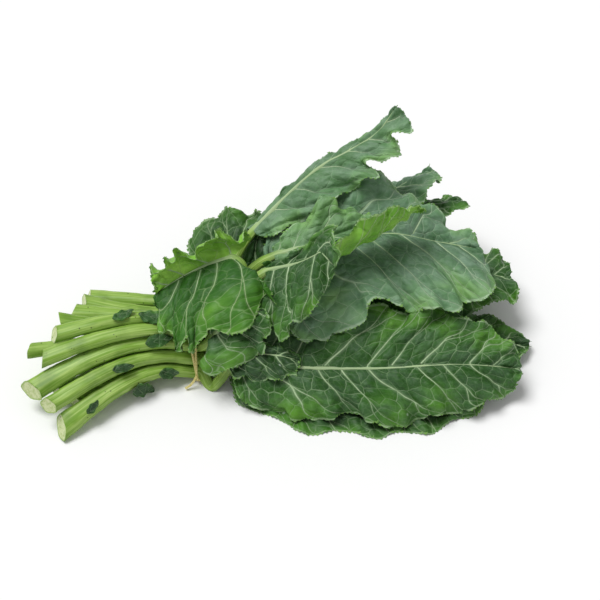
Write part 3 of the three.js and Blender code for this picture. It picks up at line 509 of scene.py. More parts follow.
def veinPoints(grid, normals, v, field, columns, offsetBy, branch, veined):  # place, radius, forked
    points = []
    for c in columns:
        fork = field["fork"][:, c]
        offset = field["place"][:, c] - offsetBy - 0.5 - branch * fork
        change = np.flatnonzero((offset[:-1] <= 0) & (offset[1:] > 0))
        if len(change) == 0 or abs(offset[change[0]]) + abs(offset[change[0] + 1]) > ridge["jump"]:
            if points:
                break
            continue
        r = change[0]
        f = -offset[r] / (offset[r + 1] - offset[r])
        outwards = min(1, abs(v[c]) * ridge["thinBy"]) ** 0.7
        size = ridge["thick"] + (ridge["thin"] - ridge["thick"]) * outwards
        shown = ridge["faintest"] + (1 - ridge["faintest"]) * veined
        size *= min(1, field["spacing"][r, c] / ridge["fullAt"]) * shown
        point = grid[r, c] * (1 - f) + grid[r + 1, c] * f + normals[r, c] * ridge["lift"] * size
        forked = fork[r] > 0
        points.append((point, size * (ridge["branch"] if forked else 1), forked))
    return points


def veinLines(grid, normals, v, field, veined):  # points along each side vein and its branches
    lines = []
    middle = len(v) // 2
    for side, end in ((1, len(v)), (-1, -1)):
        columns = [c for c in range(middle + side, end, side) if abs(v[c]) <= ridge["reach"]]
        for vein in range(-3, field["count"] + 2):  # some begin before the first row
            for branch in (-1, 1):
                points = veinPoints(grid, normals, v, field, columns, vein, branch, veined)
                if branch > 0:  # the second branch begins at the fork
                    start = next((n for n, p in enumerate(points) if p[2]), len(points))
                    points = points[max(0, start - 1):]
                steps = [a[0] - b[0] for a, b in zip(points, points[1:])]
                unbroken = all(step @ step <= ridge["longestStep"] ** 2 for step in steps)
                if len(points) >= ridge["fewestPoints"] and unbroken:
                    lines.append(points)
    return lines


def puckered(place, seed):  # 0 along the edges of irregular cells, up to 1 in their middles
    cell = np.floor(place)
    nearest, second = np.full((2,) + place.shape[:-1], 9.0)
    for dx in (-1, 0, 1):
        for dy in (-1, 0, 1):
            own = cell + (dx, dy)
            mixed = own[..., 0] * 127.1 + own[..., 1] * 311.7 + seed * 17.3
            point = own + np.stack([scattered(mixed), scattered(mixed + 57.4, 24634.6345)], -1)
            away = np.linalg.norm(place - point, axis=-1)
            second = np.where(away < nearest, nearest, np.minimum(second, away))
            nearest = np.minimum(nearest, away)
    return smoothStep(0, leaf["puckerEdge"], second - nearest)


def reliefOf(seed, look, v, reach, field, flat, margin):  # swellings, puckers and ruffles
    groove = np.exp(-(field["away"] / leaf["puffWidth"]) ** 2)
    swell = smoothStep(1.08, 0.8, reach) * smoothStep(0, 0.15, reach)
    puff = leaf["puff"] * (1 - groove) * swell
    wave = waver(margin / leaf["ruffleLength"] / leaf["ruffleStretch"], seed + 11, 2)
    strength = np.where(v > 0, *look["ruffle"])
    ruffle = leaf["ruffle"] * wave * smoothStep(0.45, 1, reach) ** 1.3 * strength
    cells = puckered(flat / leaf["puckerSize"], seed)
    puff = puff + leaf["pucker"] * look["pucker"] * cells * (1 - 0.6 * groove) * swell
    return puff + ruffle


def closedSheet(name, grid, normals, reach, uvs, values):  # two faces and the wall between them
    rows, columns = grid.shape[:2]
    thinner = 1 - leaf["thinned"] * smoothStep(0.9, 1, reach)
    thick = leaf["thick"] / 2 * thinner[..., None]
    top = (grid + normals * thick).reshape(-1, 3)
    bottom = (grid - normals * thick).reshape(-1, 3)
    count = rows * columns
    index = np.arange(count).reshape(rows, columns)
    quads = np.stack([index[:-1, :-1], index[:-1, 1:], index[1:, 1:], index[1:, :-1]], -1).reshape(-1, 4)
    rim = np.concatenate([index[0, :], index[1:, -1], index[-1, -2::-1], index[-2:0:-1, 0]])
    following = np.roll(rim, -1)
    walls = np.stack([following, rim, rim + count, following + count], -1)
    faces = quads.tolist() + (quads[:, ::-1] + count).tolist() + walls.tolist()
    sharp = np.zeros(2 * count, int)
    sharp[rim] = 1
    sharp[rim + count] = 2
    uvs = {key: np.tile(uv.reshape(-1, 2), (2, 1)) for key, uv in uvs.items()}
    values = {key: np.tile(np.ravel(value), 2) for key, value in values.items()}
    values["under"] = np.repeat([0.0, 1.0], count)
    return meshPiece(name, np.concatenate([top, bottom]), faces, uvs, values, sharp)


def leafPiece(name, seed):
    look = lookOf(name)
    grid, u, v, vFine, margin, length = fineBlade(name, seed)
    middle = len(v) // 2
    normals = gridNormals(grid)
    reach = np.abs(vFine)
    field = veinField(seed, grid, u, v, reach, length)
    along = np.broadcast_to(lengthsAlong(grid[:, middle])[:, None], reach.shape)
    across = lengthsAlong(np.swapaxes(grid, 0, 1)).T
    flat = np.stack([along, across - across[:, middle][:, None]], -1)  # the blade laid flat
    tree = roomAround(name)
    lowest = -leaf["room"] * freeSpace(tree, grid, -normals)
    highest = leaf["room"] * freeSpace(tree, grid, normals)
    relief = reliefOf(seed, look, v, reach, field, flat, margin)
    grid = grid + normals * np.clip(relief, lowest, highest)[..., None]
    grid[..., 2] = np.maximum(grid[..., 2], leaf["thick"])
    normals = gridNormals(grid)
    uvs = {"veins": np.stack([field["place"], reach], -1), "place": flat + (0.37 * seed, 0)}
    values = {
        "spacing": field["spacing"],
        "fork": field["fork"],
        # painted light and tone: how far each half is drawn in the brighter yellow-green
        "paintedLightAndTone": np.broadcast_to(np.where(v > 0, *look["paintedLightAndTone"]), reach.shape),
        "veined": np.full(reach.shape, look["veined"]),
    }
    piece = closedSheet(name + "_leaf", grid, normals, reach, uvs, values)
    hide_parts(name + "_blade")
    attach(piece, "root")
    out = normalized(grid[:, [0, -1]] - grid[:, [2, -3]])
    margins = [(grid[:, c], out[:, n], normals[:, c]) for n, c in enumerate((0, -1))]
    return piece, veinLines(grid, normals, v, field, look["veined"]), margins


def rgb(hexCode):
    parts = [int(hexCode[k:k + 2], 16) / 255 for k in (1, 3, 5)]
    return tuple(c / 12.92 if c < 0.04045 else ((c + 0.055) / 1.055) ** 2.4 for c in parts) + (1.0,)


class Wires:  # short ways to place and join nodes
    def __init__(self, tree):
        self.tree = tree

    def socket(self, name, kind, way="INPUT", value=None):
        made = self.tree.interface.new_socket(name, in_out=way, socket_type="NodeSocket" + kind)
        if value is not None:
            made.default_value = value

    def feed(self, socket, value):  # from another socket, a value or a hex colour
        if isinstance(value, bpy.types.NodeSocket):
            self.tree.links.new(value, socket)
        elif isinstance(value, str) and value.startswith("#"):
            socket.default_value = rgb(value)
        else:
            socket.default_value = value

    def node(self, kind, inputs=None, **settings):
        made = self.tree.nodes.new(kind)
        for key, value in settings.items():
            setattr(made, key, value)
        for key, value in (inputs or {}).items():
            self.feed(made.inputs[key], value)
        return made

    def math(self, operation, *values, clamp=False):
        inputs = dict(enumerate(values))
        return self.node("ShaderNodeMath", inputs, operation=operation, use_clamp=clamp).outputs[0]

    def times(self, first, second):
        return self.math("MULTIPLY", first, second)

    def ramp(self, value, low, high, start=0.0, end=1.0):  # smooth step between two values
        inputs = dict(enumerate((value, low, high, start, end)))
        return self.node("ShaderNodeMapRange", inputs, interpolation_type="SMOOTHSTEP").outputs[0]

    def blend(self, share, first, second):
        inputs = {0: share, 6: first, 7: second}
        return self.node("ShaderNodeMix", inputs, data_type="RGBA").outputs[2]

    def laid(self, base, colour, mask, strength):  # a colour over the base, where the mask is
        return self.blend(self.times(mask, strength), base, colour)

    def noise(self, vector, scale, detail=2.0, roughness=0.5):
        inputs = {"Vector": vector, "Scale": scale, "Detail": detail, "Roughness": roughness}
        return self.node("ShaderNodeTexNoise", inputs).outputs["Fac"]

    def uv(self, name):
        return self.node("ShaderNodeUVMap", uv_map=name).outputs[0]

    def value(self, name):  # a number kept at the mesh's points
        return self.node("ShaderNodeAttribute", attribute_name=name).outputs["Fac"]

    def inMetres(self):  # the place on the object
        return self.node("ShaderNodeTexCoord").outputs["Object"]


class Modelling(Wires):  # a geometry node tree that is built and used once
    def __init__(self, name, inputs):
        super().__init__(bpy.data.node_groups.new(name, "GeometryNodeTree"))
        self.socket("Geometry", "Geometry")
        for key, value in inputs.items():
            self.socket(key.capitalize(), "Int" if isinstance(value, int) else "Float", value=value)
        self.socket("Geometry", "Geometry", "OUTPUT")
        self.given = self.node("NodeGroupInput").outputs

    def attribute(self, name, kind):
        made = self.node("GeometryNodeInputNamedAttribute", {"Name": name}, data_type=kind)
        return made.outputs["Attribute"]

    def made(self, source, geometry, material):  # instances made real, material set, and applied
        real = self.node("GeometryNodeRealizeInstances", {"Geometry": geometry}).outputs[0]
        inputs = {"Geometry": real, "Material": material}
        painted = self.node("GeometryNodeSetMaterial", inputs).outputs[0]
        self.node("NodeGroupOutput", {"Geometry": painted})
        source.modifiers.new("nodes", "NODES").node_group = self.tree
        mesh = meshAfter(source)
        mesh.name = self.tree.name
        shadeSmooth(mesh)
        piece = addObject(mesh.name, mesh)
        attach(piece, "root")
        return piece


def meshAfter(source):  # the object's mesh with its modifiers made real, and the object gone
    made = bpy.data.meshes.new_from_object(source.evaluated_get(bpy.context.evaluated_depsgraph_get()))
    bpy.data.objects.remove(source)
    return made


def pathMesh(name, paths, values):  # lines of points as a mesh of edges, with values at the points
    edges = []
    start = 0
    for path in paths:
        edges += [(start + n, start + n + 1) for n in range(len(path) - 1)]
        start += len(path)
    mesh = meshFrom(name, np.concatenate(paths).tolist(), edges, [])
    for key, value in values.items():
        addValues(mesh, key, value)
    return addObject(name, mesh)


def veinRidges(lines, material):
    paths = [np.array([p[0] for p in line]) for line in lines]
    source = pathMesh("veinPaths", paths, {"size": [p[1] for line in lines for p in line]})
    g = Modelling("veinRidges", {"thickness": 1.0, "sides": ridge["sides"]})
    curve = g.node("GeometryNodeMeshToCurve", {"Mesh": g.given["Geometry"]}).outputs[0]
    size = g.times(g.attribute("size", "FLOAT"), g.given["Thickness"])
    circle = {"Resolution": g.given["Sides"], "Radius": 1.0}
    profile = g.node("GeometryNodeCurvePrimitiveCircle", circle).outputs[0]
    inputs = {"Curve": curve, "Profile Curve": profile, "Scale": size, "Fill Caps": True}
    return g.made(source, g.node("GeometryNodeCurveToMesh", inputs).outputs[0], material)


tooth = {
    "spacing": 0.0042, "height": 0.0017, "width": 0.0048, "thickness": 0.00045, "variation": 0.5,
    "root": -0.35,  # where a tooth's middle is, in from the margin, as a share of its height
    "seed": 5,
}


def marginTeeth(margins, material):
    paths, out, up = zip(*margins)
    source = pathMesh("marginPaths", paths, {"out": np.concatenate(out), "up": np.concatenate(up)})
    g = Modelling("marginTeeth", tooth)
    given = g.given
    curve = g.node("GeometryNodeMeshToCurve", {"Mesh": given["Geometry"]}).outputs[0]
    inputs = {"Curve": curve, "Length": given["Spacing"]}
    points = g.node("GeometryNodeCurveToPoints", inputs, mode="LENGTH").outputs["Points"]
    out, up = (g.attribute(name, "FLOAT_VECTOR") for name in ("out", "up"))
    inputs = {"Primary Axis": out, "Secondary Axis": up}
    turned = g.node("FunctionNodeAxesToRotation", inputs, primary_axis="Z", secondary_axis="Y").outputs[0]
    shape = {"Vertices": 4, "Radius Top": 0.0, "Radius Bottom": 0.5, "Depth": 1.0}
    spike = g.node("GeometryNodeMeshCone", shape, fill_type="NGON").outputs[0]
    inwards = g.node("ShaderNodeCombineXYZ", {"Z": given["Root"]}).outputs[0]
    inputs = {"Geometry": spike, "Translation": inwards, "Rotation": (0, 0, math.pi / 4)}
    spike = g.node("GeometryNodeTransform", inputs).outputs[0]
    axes = {"X": given["Width"], "Y": given["Thickness"], "Z": given["Height"]}
    size = g.node("ShaderNodeCombineXYZ", axes).outputs[0]
    low, high = (g.math(kind, 1.0, given["Variation"]) for kind in ("SUBTRACT", "ADD"))
    inputs = {"Min": low, "Max": high, "Seed": given["Seed"]}
    chance = g.node("FunctionNodeRandomValue", inputs, data_type="FLOAT").outputs["Value"]
    size = g.node("ShaderNodeVectorMath", {0: size, "Scale": chance}, operation="SCALE").outputs[0]
    inputs = {"Points": points, "Instance": spike, "Rotation": turned, "Scale": size}
    piece = g.made(source, g.node("GeometryNodeInstanceOnPoints", inputs).outputs[0], material)
    shadeSmooth(piece.data, False)
    return piece


stalk = {
    "ringLength": 0.0025, "sides": 20,
    "end": 0.985,  # share of the leaf's length where the rib ends
    "ridges": 5, "ridgeDepth": 0.06, "twist": 0.8, "twistLength": 0.15, "groove": 0.14,
    "grooveWidth": 0.35, "bumps": 0.04, "bumpLength": 0.03,
    "ribWidth": 0.62,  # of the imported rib's width, out along the blade
    "ribHeight": 0.3,  # share of its height that isn't slimmed with the width
    "slimming": (-0.015, 0.05),  # where it slims, from the blade's start
    "paling": (-0.01, 0.02),  # where the stalk's colour turns into the rib's
    "tipSize": 0.00035, "leastSize": 0.0002,
    "clearance": 0.0003,  # above the table
    "cutRings": 6,  # rings that are moved to meet the slanted cut
    "lip": 0.8,  # size of the ring on the cut's face, as a share of the cut's
    "lipDepth": 0.0002, "coreDepth": 0.0005,  # how far that ring and the middle are sunk
}


def ribLine(name):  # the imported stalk's middle, direction and half sizes, on to the leaf's tip
    spine = spines[name]
    steps, notch = layout["steps"], layout["notch"]
    further = [blades[name][(0, i, 0)] for i in range(notch, steps + 1)]
    share = np.arange(1, len(further) + 1) / len(further)
    middle = np.concatenate([spine["middle"], further])
    up = np.concatenate([spine["up"], [spine["up"][-1]] * len(further)])
    a, b = (np.append(spine[k], spine[k][-1] * (1 - share) + stalk["tipSize"] * share) for k in "ab")
    return middle, up, a, b


def ontoCut(co, corners, tangent):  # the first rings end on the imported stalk's own slanted cut
    centre = corners.mean(0)
    normal = np.linalg.svd(corners - centre)[2][-1]
    if normal @ tangent > 0:
        normal = -normal
    for k in range(min(stalk["cutRings"], len(co))):
        slide = -((co[k] - centre) @ normal) / (tangent @ normal)
        co[k] += (slide * (1 - k / stalk["cutRings"]))[:, None] * tangent
    return normal


def stalkRings(name, seed):  # rings of points, what the rings have run, and the first direction
    middle, up, a, b = ribLine(name)
    run = lengthsAlong(middle)
    n = int(run[-1] / stalk["ringLength"])
    t = np.interp(np.linspace(0, run[-1] * stalk["end"], n), run, np.arange(len(run)))
    line = curveThrough(middle, t)
    tangent = normalized(np.gradient(line, axis=0))
    tangent[0] = normalized(middle[1] - middle[0])
    upright = curveThrough(up, t)
    upright = normalized(upright - tangent * (upright * tangent).sum(1, keepdims=True))
    sideways = np.cross(tangent, upright)
    bladeStart = run[len(spines[name]["a"]) - layout["notch"]]
    distance = np.linspace(0, run[-1], n)

    def fromBlade(low, high):  # 0 on the stalk and 1 on the rib
        return smoothStep(bladeStart + low, bladeStart + high, distance)

    slim = 1 - (1 - stalk["ribWidth"]) * fromBlade(*stalk["slimming"])
    flatter = stalk["ribHeight"] + (1 - stalk["ribHeight"]) * slim
    a = np.maximum(curveThrough(a, t) * slim, stalk["leastSize"])[:, None]
    b = np.maximum(curveThrough(b, t) * flatter, stalk["leastSize"])[:, None]
    angle = np.linspace(0, 2 * math.pi, stalk["sides"], endpoint=False)
    twist = stalk["twist"] * waver(distance / stalk["twistLength"], seed)[:, None]
    ridged = 1 + stalk["ridgeDepth"] * np.cos(stalk["ridges"] * angle + twist)
    dip = 1 - stalk["groove"] * np.exp(-((angle - math.pi / 2) / stalk["grooveWidth"]) ** 2)
    bump = 1 + stalk["bumps"] * waver(distance / stalk["bumpLength"], seed + 5)[:, None]
    shape = ridged * dip * bump
    outwards = sideways[:, None] * (a * np.cos(angle) * shape)[..., None]
    upwards = upright[:, None] * (b * np.sin(angle) * shape)[..., None]
    co = line[:, None] + outwards + upwards
    co[..., 2] = np.maximum(co[..., 2], stalk["clearance"])
    return co, angle, distance, fromBlade(*stalk["paling"]), tangent[0]


def stalkPiece(name, seed):
    co, angle, distance, paling, tangent = stalkRings(name, seed)
    n, sides = co.shape[:2]
    normal = ontoCut(co, spines[name]["cutEnd"], tangent)
    cutMiddle = co[0].mean(0)
    lip = cutMiddle + (co[0] - cutMiddle) * stalk["lip"] - stalk["lipDepth"] * normal
    core = cutMiddle - stalk["coreDepth"] * normal
    points = np.concatenate([co.reshape(-1, 3), lip, [core], [co[-1].mean(0)]])
    count = n * sides
    index = np.arange(count).reshape(n, sides)
    turned = np.roll(index, -1, axis=1)
    lipIndex = np.arange(count, count + sides)
    lipTurned = np.roll(lipIndex, -1)
    coreIndex, tipIndex = np.full((sides, 2), (count + sides, count + sides + 1)).T
    faces = []
    for corners in (
        (index[:-1], index[1:], turned[1:], turned[:-1]),
        (turned[0], lipTurned, lipIndex, index[0]),
        (lipTurned, coreIndex, lipIndex),
        (index[-1], tipIndex, turned[-1]),
    ):
        faces += np.stack(corners, -1).reshape(-1, len(corners)).tolist()
    uv = np.zeros((len(points), 2))
    uv[:count, 0] = np.repeat(distance, sides) + 0.71 * seed
    uv[:count, 1] = np.tile(angle / (2 * math.pi), n)
    cut = np.zeros(len(points))
    cut[count:-1] = 1
    rib = 1 - cut
    rib[:count] = np.repeat(paling, sides)
    sharp = np.zeros(len(points), int)
    sharp[index[0]] = 1
    piece = meshPiece(name + "_rib", points, faces, {"fibres": uv}, {"cut": cut, "rib": rib}, sharp)
    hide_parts(name + "_stalk")
    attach(piece, "root")
    return piece


veinMask = {
    "width": 0.0011,
    "fork": 0.0,
    "net": 0.0115,  # how wide a cell of the net is
    "thinning": -0.72,  # change of width out to the margin
    "spacing": 0.016,  # closer side veins than this are thinner
    "core": 0.25, "halo": 3.2, "bends": 160.0, "bentBy": 0.0022,
    "netLines": ((1.0, 0.055), (2.7, 0.09)),  # finer by this factor, and each line's width
    "fineNet": 0.22, "cells": 0.35,
}


def makeVeinEffect():  # a shader group that gives out masks
    tree = bpy.data.node_groups.new("leafVeins", "ShaderNodeTree")
    w = Wires(tree)
    w.socket("Veins", "Vector")
    w.socket("Place", "Vector")
    for key in ("Spacing", "Fork", "Width", "Net"):
        w.socket(key, "Float", value=veinMask[key.lower()])
    given = w.node("NodeGroupInput").outputs
    along, reach = w.node("ShaderNodeSeparateXYZ", {"Vector": given["Veins"]}).outputs[:2]
    away = w.math("ABSOLUTE", w.math("SUBTRACT", w.math("FRACT", along), 0.5))
    distance = w.math("ABSOLUTE", w.math("SUBTRACT", away, given["Fork"]))
    distance = w.times(distance, given["Spacing"])
    thin = w.times(given["Width"], w.math("MULTIPLY_ADD", reach, veinMask["thinning"], 1.0))
    thin = w.times(thin, w.math("DIVIDE", given["Spacing"], veinMask["spacing"], clamp=True))
    inputs = {"Scale": veinMask["bends"], "Detail": 1.0, "Vector": given["Place"]}
    bent = w.node("ShaderNodeTexNoise", inputs)
    shift = {0: bent.outputs["Color"], "Scale": veinMask["bentBy"]}
    shift = w.node("ShaderNodeVectorMath", shift, operation="SCALE").outputs[0]
    moved = w.node("ShaderNodeVectorMath", {0: given["Place"], 1: shift}, operation="ADD").outputs[0]
    scale = w.math("DIVIDE", 1.0, given["Net"])
    edges = []
    nets = []
    for factor, width in veinMask["netLines"]:
        inputs = {"Vector": moved, "Scale": w.times(scale, factor)}
        cells = w.node("ShaderNodeTexVoronoi", inputs, voronoi_dimensions="2D", feature="DISTANCE_TO_EDGE")
        edges.append(cells.outputs["Distance"])
        nets.append(w.ramp(edges[-1], 0.0, width, 1.0, 0.0))
    masks = {
        "Side Veins": w.ramp(distance, w.times(thin, veinMask["core"]), thin, 1.0, 0.0),
        "Halo": w.ramp(distance, 0.0, w.times(thin, veinMask["halo"]), 1.0, 0.0),
        "Net": w.math("MAXIMUM", nets[0], w.times(nets[1], veinMask["fineNet"])),
        "Cells": w.ramp(edges[0], 0.0, veinMask["cells"]),
    }
    for key in masks:
        w.socket(key, "Float", "OUTPUT")
    w.node("NodeGroupOutput", masks)
    return tree


class Skin(Wires):  # a material with one principled shader
    def __init__(self, name, specular):
        self.material = bpy.data.materials.new(name)
        self.material.use_nodes = True
        super().__init__(self.material.node_tree)
        self.tree.nodes.clear()
        shader = self.node("ShaderNodeBsdfPrincipled", {"Specular IOR Level": specular})
        self.node("ShaderNodeOutputMaterial", {"Surface": shader.outputs[0]})
        self.surface = shader.inputs

    def painted(self, colour, roughness, height=None, strength=1.0, distance=0.0):
        self.feed(self.surface["Base Color"], colour)
        self.feed(self.surface["Roughness"], roughness)
        if height is not None:
            inputs = {"Strength": strength, "Distance": distance, "Height": height}
            self.feed(self.surface["Normal"], self.node("ShaderNodeBump", inputs).outputs[0])
        return self.material


leafFinish = {  # by slot: material's name, blade, lighter green, edge, underside, veins, bloom
    "deep_green": ("deepGreen", "#193d0f", "#35661a", "#538c26", "#527a44", "#a6c292", 0.11),
    "green": ("green", "#204b12", "#407620", "#659c2e", "#5c8847", "#b2cda0", 0.11),
    "grey_green": ("greyGreen", "#436a44", "#6f9d6b", "#80ad58", "#90b387", "#bdd6b3", 0.34),
    "bright_green": ("brightGreen", "#285a17", "#467f24", "#70aa2f", "#3a7324", "#bad69b", 0.04),
}
leafSkin = {
    "paintedLightAndToneGreens": ("#74b234", "#a0d655"),  # yellow-green for painted light on lit halves, and for leaves whose own tone is greener
    "specular": 0.24,
    "roughness": (0.22, 0.36),  # what the grain adds, and the lowest
    "patches": 28.0,  # noise scales
    "grain": 420.0, "fading": 35.0, "blooming": 60.0, "spots": 75.0,
    "outwards": (0.34, -0.2),  # how much lighter the blade gets towards its margin
    "lighter": (0.35, 0.72),  # where on the patches the light green begins and is full
    "edged": (0.5, 0.85), "mottled": (0.3, 0.7), "grained": (0.3, 0.8), "bloomed": (0.3, 0.75),
    "faded": (0.35, 0.65, 0.35),  # and how much of the net is left where it is faded
    "grainShare": 0.4, "cellShare": 0.22, "edgeShare": 0.75, "underShare": 0.85, "underPaintedLightAndTone": 0.8,
    "netShare": 0.4, "haloShare": 0.24, "veinShare": 0.85,
    "rim": (0.975, 0.55),  # where the pale rim begins, and how strong it is
    "bloom": "#a6bcae",
    "spotEdge": (0.08, 0.17), "spotWobble": 0.12,
    "pale": ("#cfdccf", 0, 0.985, 0.45),  # spots: colour, channel, how rare and how strong
    "dark": ("#20301a", 1, 0.955, 0.75),
    "relief": {"Cells": 0.75, "Net": -0.25, "Side Veins": -0.5}, "grainRelief": 0.42,
    "bump": 0.0011,
}


def leafMaterial(veinEffect, name, blade, light, edge, underside, vein, bloom):
    skin = leafSkin
    w = Skin(name, skin["specular"])
    veins, place = w.uv("veins"), w.uv("place")
    spacing, fork, under, paintedLightAndTone, veined = map(w.value, ("spacing", "fork", "under", "paintedLightAndTone", "veined"))
    reach = w.node("ShaderNodeSeparateXYZ", {"Vector": veins}).outputs[1]
    inputs = {"Veins": veins, "Place": place, "Spacing": spacing, "Fork": fork}
    masks = w.node("ShaderNodeGroup", inputs, node_tree=veinEffect).outputs
    patches = w.noise(place, skin["patches"], 3.0)
    grain = w.noise(place, skin["grain"], 3.0, 0.6)
    mottled = w.ramp(patches, *skin["mottled"])
    outwards = w.math("ADD", patches, w.math("MULTIPLY_ADD", reach, *skin["outwards"]))
    base = w.blend(w.ramp(outwards, *skin["lighter"]), blade, light)
    base = w.laid(base, light, w.ramp(grain, *skin["grained"]), skin["grainShare"])
    base = w.laid(base, blade, masks["Cells"], skin["cellShare"])
    blooming = w.ramp(w.noise(place, skin["blooming"], 4.0, 0.65), *skin["bloomed"])
    base = w.laid(base, skin["bloom"], blooming, bloom)
    base = w.laid(base, edge, w.ramp(outwards, *skin["edged"]), skin["edgeShare"])
    paintedLightAndToneGreens = w.blend(mottled, *skin["paintedLightAndToneGreens"])
    # painted light on the top face and, less of it, on the underside: halves drawn in the brighter
    # yellow-green, which on some leaves is their own greener tone
    base = w.blend(paintedLightAndTone, base, paintedLightAndToneGreens)
    back = w.blend(w.times(paintedLightAndTone, skin["underPaintedLightAndTone"]), w.blend(mottled, underside, light), paintedLightAndToneGreens)
    base = w.blend(w.times(under, skin["underShare"]), base, back)
    faded = w.times(w.ramp(w.noise(place, skin["fading"]), *skin["faded"]), veined)
    base = w.laid(base, vein, w.times(masks["Net"], faded), skin["netShare"])
    base = w.laid(base, vein, masks["Halo"], w.times(veined, skin["haloShare"]))
    base = w.laid(base, vein, masks["Side Veins"], w.times(veined, skin["veinShare"]))
    base = w.laid(base, vein, w.ramp(reach, skin["rim"][0], 1.0), skin["rim"][1])
    inputs = {"Vector": place, "Scale": skin["spots"]}
    spots = w.node("ShaderNodeTexVoronoi", inputs, voronoi_dimensions="2D").outputs
    wobbly = w.math("ADD", spots["Distance"], w.times(grain, skin["spotWobble"]))
    dot = w.ramp(wobbly, *skin["spotEdge"], 1.0, 0.0)
    kind = w.node("ShaderNodeSeparateColor", {"Color": spots["Color"]}).outputs
    for colour, channel, rare, strength in (skin["pale"], skin["dark"]):
        chosen = w.times(dot, w.math("GREATER_THAN", kind[channel], rare))
        base = w.laid(base, colour, chosen, strength)
    height = w.times(grain, skin["grainRelief"])
    for key, share in skin["relief"].items():
        height = w.math("MULTIPLY_ADD", masks[key], share, height)
    roughness = w.math("MULTIPLY_ADD", grain, *skin["roughness"])
    return w.painted(base, roughness, height, 1.0, skin["bump"])


plainSkins = {  # two colours, the noise's scale and contrast, gloss, roughness, relief
    "veinSkin": ("#9cb98a", "#bfd5ab", 60.0, (0.35, 0.65), 0.4, (0.2, 0.4), ()),
    "toothSkin": ("#43742b", "#7dab52", 90.0, (0.35, 0.65), 0.4, (0.2, 0.4), ()),
    "tieFibre": ("#cdbd68", "#f1e6a4", 900.0, (0.3, 0.7), 0.3, (0.2, 0.5), (0.6, 0.0003)),
}


def plainSkin(name):
    first, second, scale, contrast, specular, rough, relief = plainSkins[name]
    w = Skin(name, specular)
    patches = w.noise(w.inMetres(), scale, 3.0)
    colour = w.blend(w.ramp(patches, *contrast), first, second)
    roughness = w.math("MULTIPLY_ADD", patches, *rough)
    return w.painted(colour, roughness, patches if relief else None, *relief)


stalkFinish = {
    "skin": ("#76a02f", "#b4d074"),
    "shade": ("#4a7020", 0.5),  # and how strong it is
    "rib": ("#b2c6a2", 0.7),
    "cutEnd": ("#cdd6a4", "#a8bb74"),  # rim and pith
    "speck": ("#2c2d16", 0.8), "fibres": 8.0, "patches": 45.0, "pithGrain": 420.0, "specks": 190.0,
    "speckPatches": 70.0, "specular": 0.35, "roughness": (0.2, 0.32), "relief": (0.5, 0.0004),
    "streaked": (0.3, 0.8), "shaded": (0.45, 0.75), "pithy": (0.4, 0.7),
    "speckEdge": (0.09, 0.17), "speckled": (0.53, 0.6),
}


def stalkMaterial():
    finish = stalkFinish
    w = Skin("stalkSkin", finish["specular"])
    inputs = {"Vector": w.uv("fibres"), "Scale": (finish["fibres"], finish["fibres"], 1.0)}
    fibres = w.noise(w.node("ShaderNodeMapping", inputs).outputs[0], 3.0, 4.0)
    place = w.inMetres()
    shaded = w.ramp(w.noise(place, finish["patches"], 3.0), *finish["shaded"])
    base = w.blend(w.ramp(fibres, *finish["streaked"]), *finish["skin"])
    base = w.laid(base, finish["shade"][0], shaded, finish["shade"][1])
    base = w.laid(base, finish["rib"][0], w.value("rib"), finish["rib"][1])
    pith = w.ramp(w.noise(place, finish["pithGrain"], 3.0, 0.7), *finish["pithy"])
    base = w.blend(w.value("cut"), base, w.blend(pith, *finish["cutEnd"]))
    specks = w.node("ShaderNodeTexVoronoi", {"Scale": finish["specks"], "Vector": place})
    dots = w.ramp(specks.outputs["Distance"], *finish["speckEdge"], 1.0, 0.0)
    chosen = w.times(dots, w.ramp(w.noise(place, finish["speckPatches"]), *finish["speckled"]))
    base = w.laid(base, finish["speck"][0], chosen, finish["speck"][1])
    roughness = w.math("MULTIPLY_ADD", fibres, *finish["roughness"])
    return w.painted(base, roughness, fibres, *finish["relief"])


leaflet = {
    "levels": 2, "ruffle": 0.0011, "ruffleLength": 0.0075, "curl": 0.0028, "veinGap": 0.009,
    "veinBend": 1.2,
    "values": {"spacing": 0.03, "fork": 0.0, "under": 0.0, "paintedLightAndTone": 0.0, "veined": 0.6},
}


def leafletPiece(node, seed):
    points, tris = meshOf(node)
    name = node + "_soft"
    source = addObject(name, meshFrom(name, points.tolist(), [], tris.tolist()))
    smooth = source.modifiers.new("smooth", "SUBSURF")
    smooth.levels = smooth.render_levels = leaflet["levels"]
    fine = meshAfter(source)
    co = pointsOf(fine)
    middle = co.mean(0)
    spread = np.linalg.svd(co - middle)[2]  # its length, width and thickness directions
    flat = (co - middle) @ spread.T
    along, across = flat[:, 0], np.abs(flat[:, 1])
    size = np.abs(flat[:, :2]).max(0)
    reach = np.linalg.norm(flat[:, :2] / size, axis=1)
    wave = np.sin(2 * math.pi * along / leaflet["ruffleLength"] + seed)
    lift = leaflet["ruffle"] * wave * smoothStep(0.4, 1, reach)
    uneven = 0.6 + 0.4 * np.sin(seed + flat[:, 1] * 400)
    lift = lift + leaflet["curl"] * (along / size[0]) ** 2 * uneven
    outward = spread[2] * (1 if spread[2] @ (0, -0.5, 1) > 0 else -1)
    co = co + outward * lift[:, None]
    fine.vertices.foreach_set("co", co.ravel())
    shadeSmooth(fine)
    veinPlace = along / leaflet["veinGap"] - leaflet["veinBend"] * across / size[1]
    addUv(fine, "veins", np.stack([veinPlace, across / size[1] * 0.9], 1))
    addUv(fine, "place", flat[:, :2] + seed)
    for key, value in leaflet["values"].items():
        addValues(fine, key, np.full(len(co), value))
    piece = addObject(node + "_leaf", fine)
    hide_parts(node)
    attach(piece, "root")
    return piece


veinEffect = makeVeinEffect()
materials = {slot: leafMaterial(veinEffect, *finish) for slot, finish in leafFinish.items()}
stalkSkin = stalkMaterial()
print("materials")


def finishLeaf(piece, node):  # the leaf colour of the node that it stands for
    piece.data.materials.append(materials[slotOf[node]])


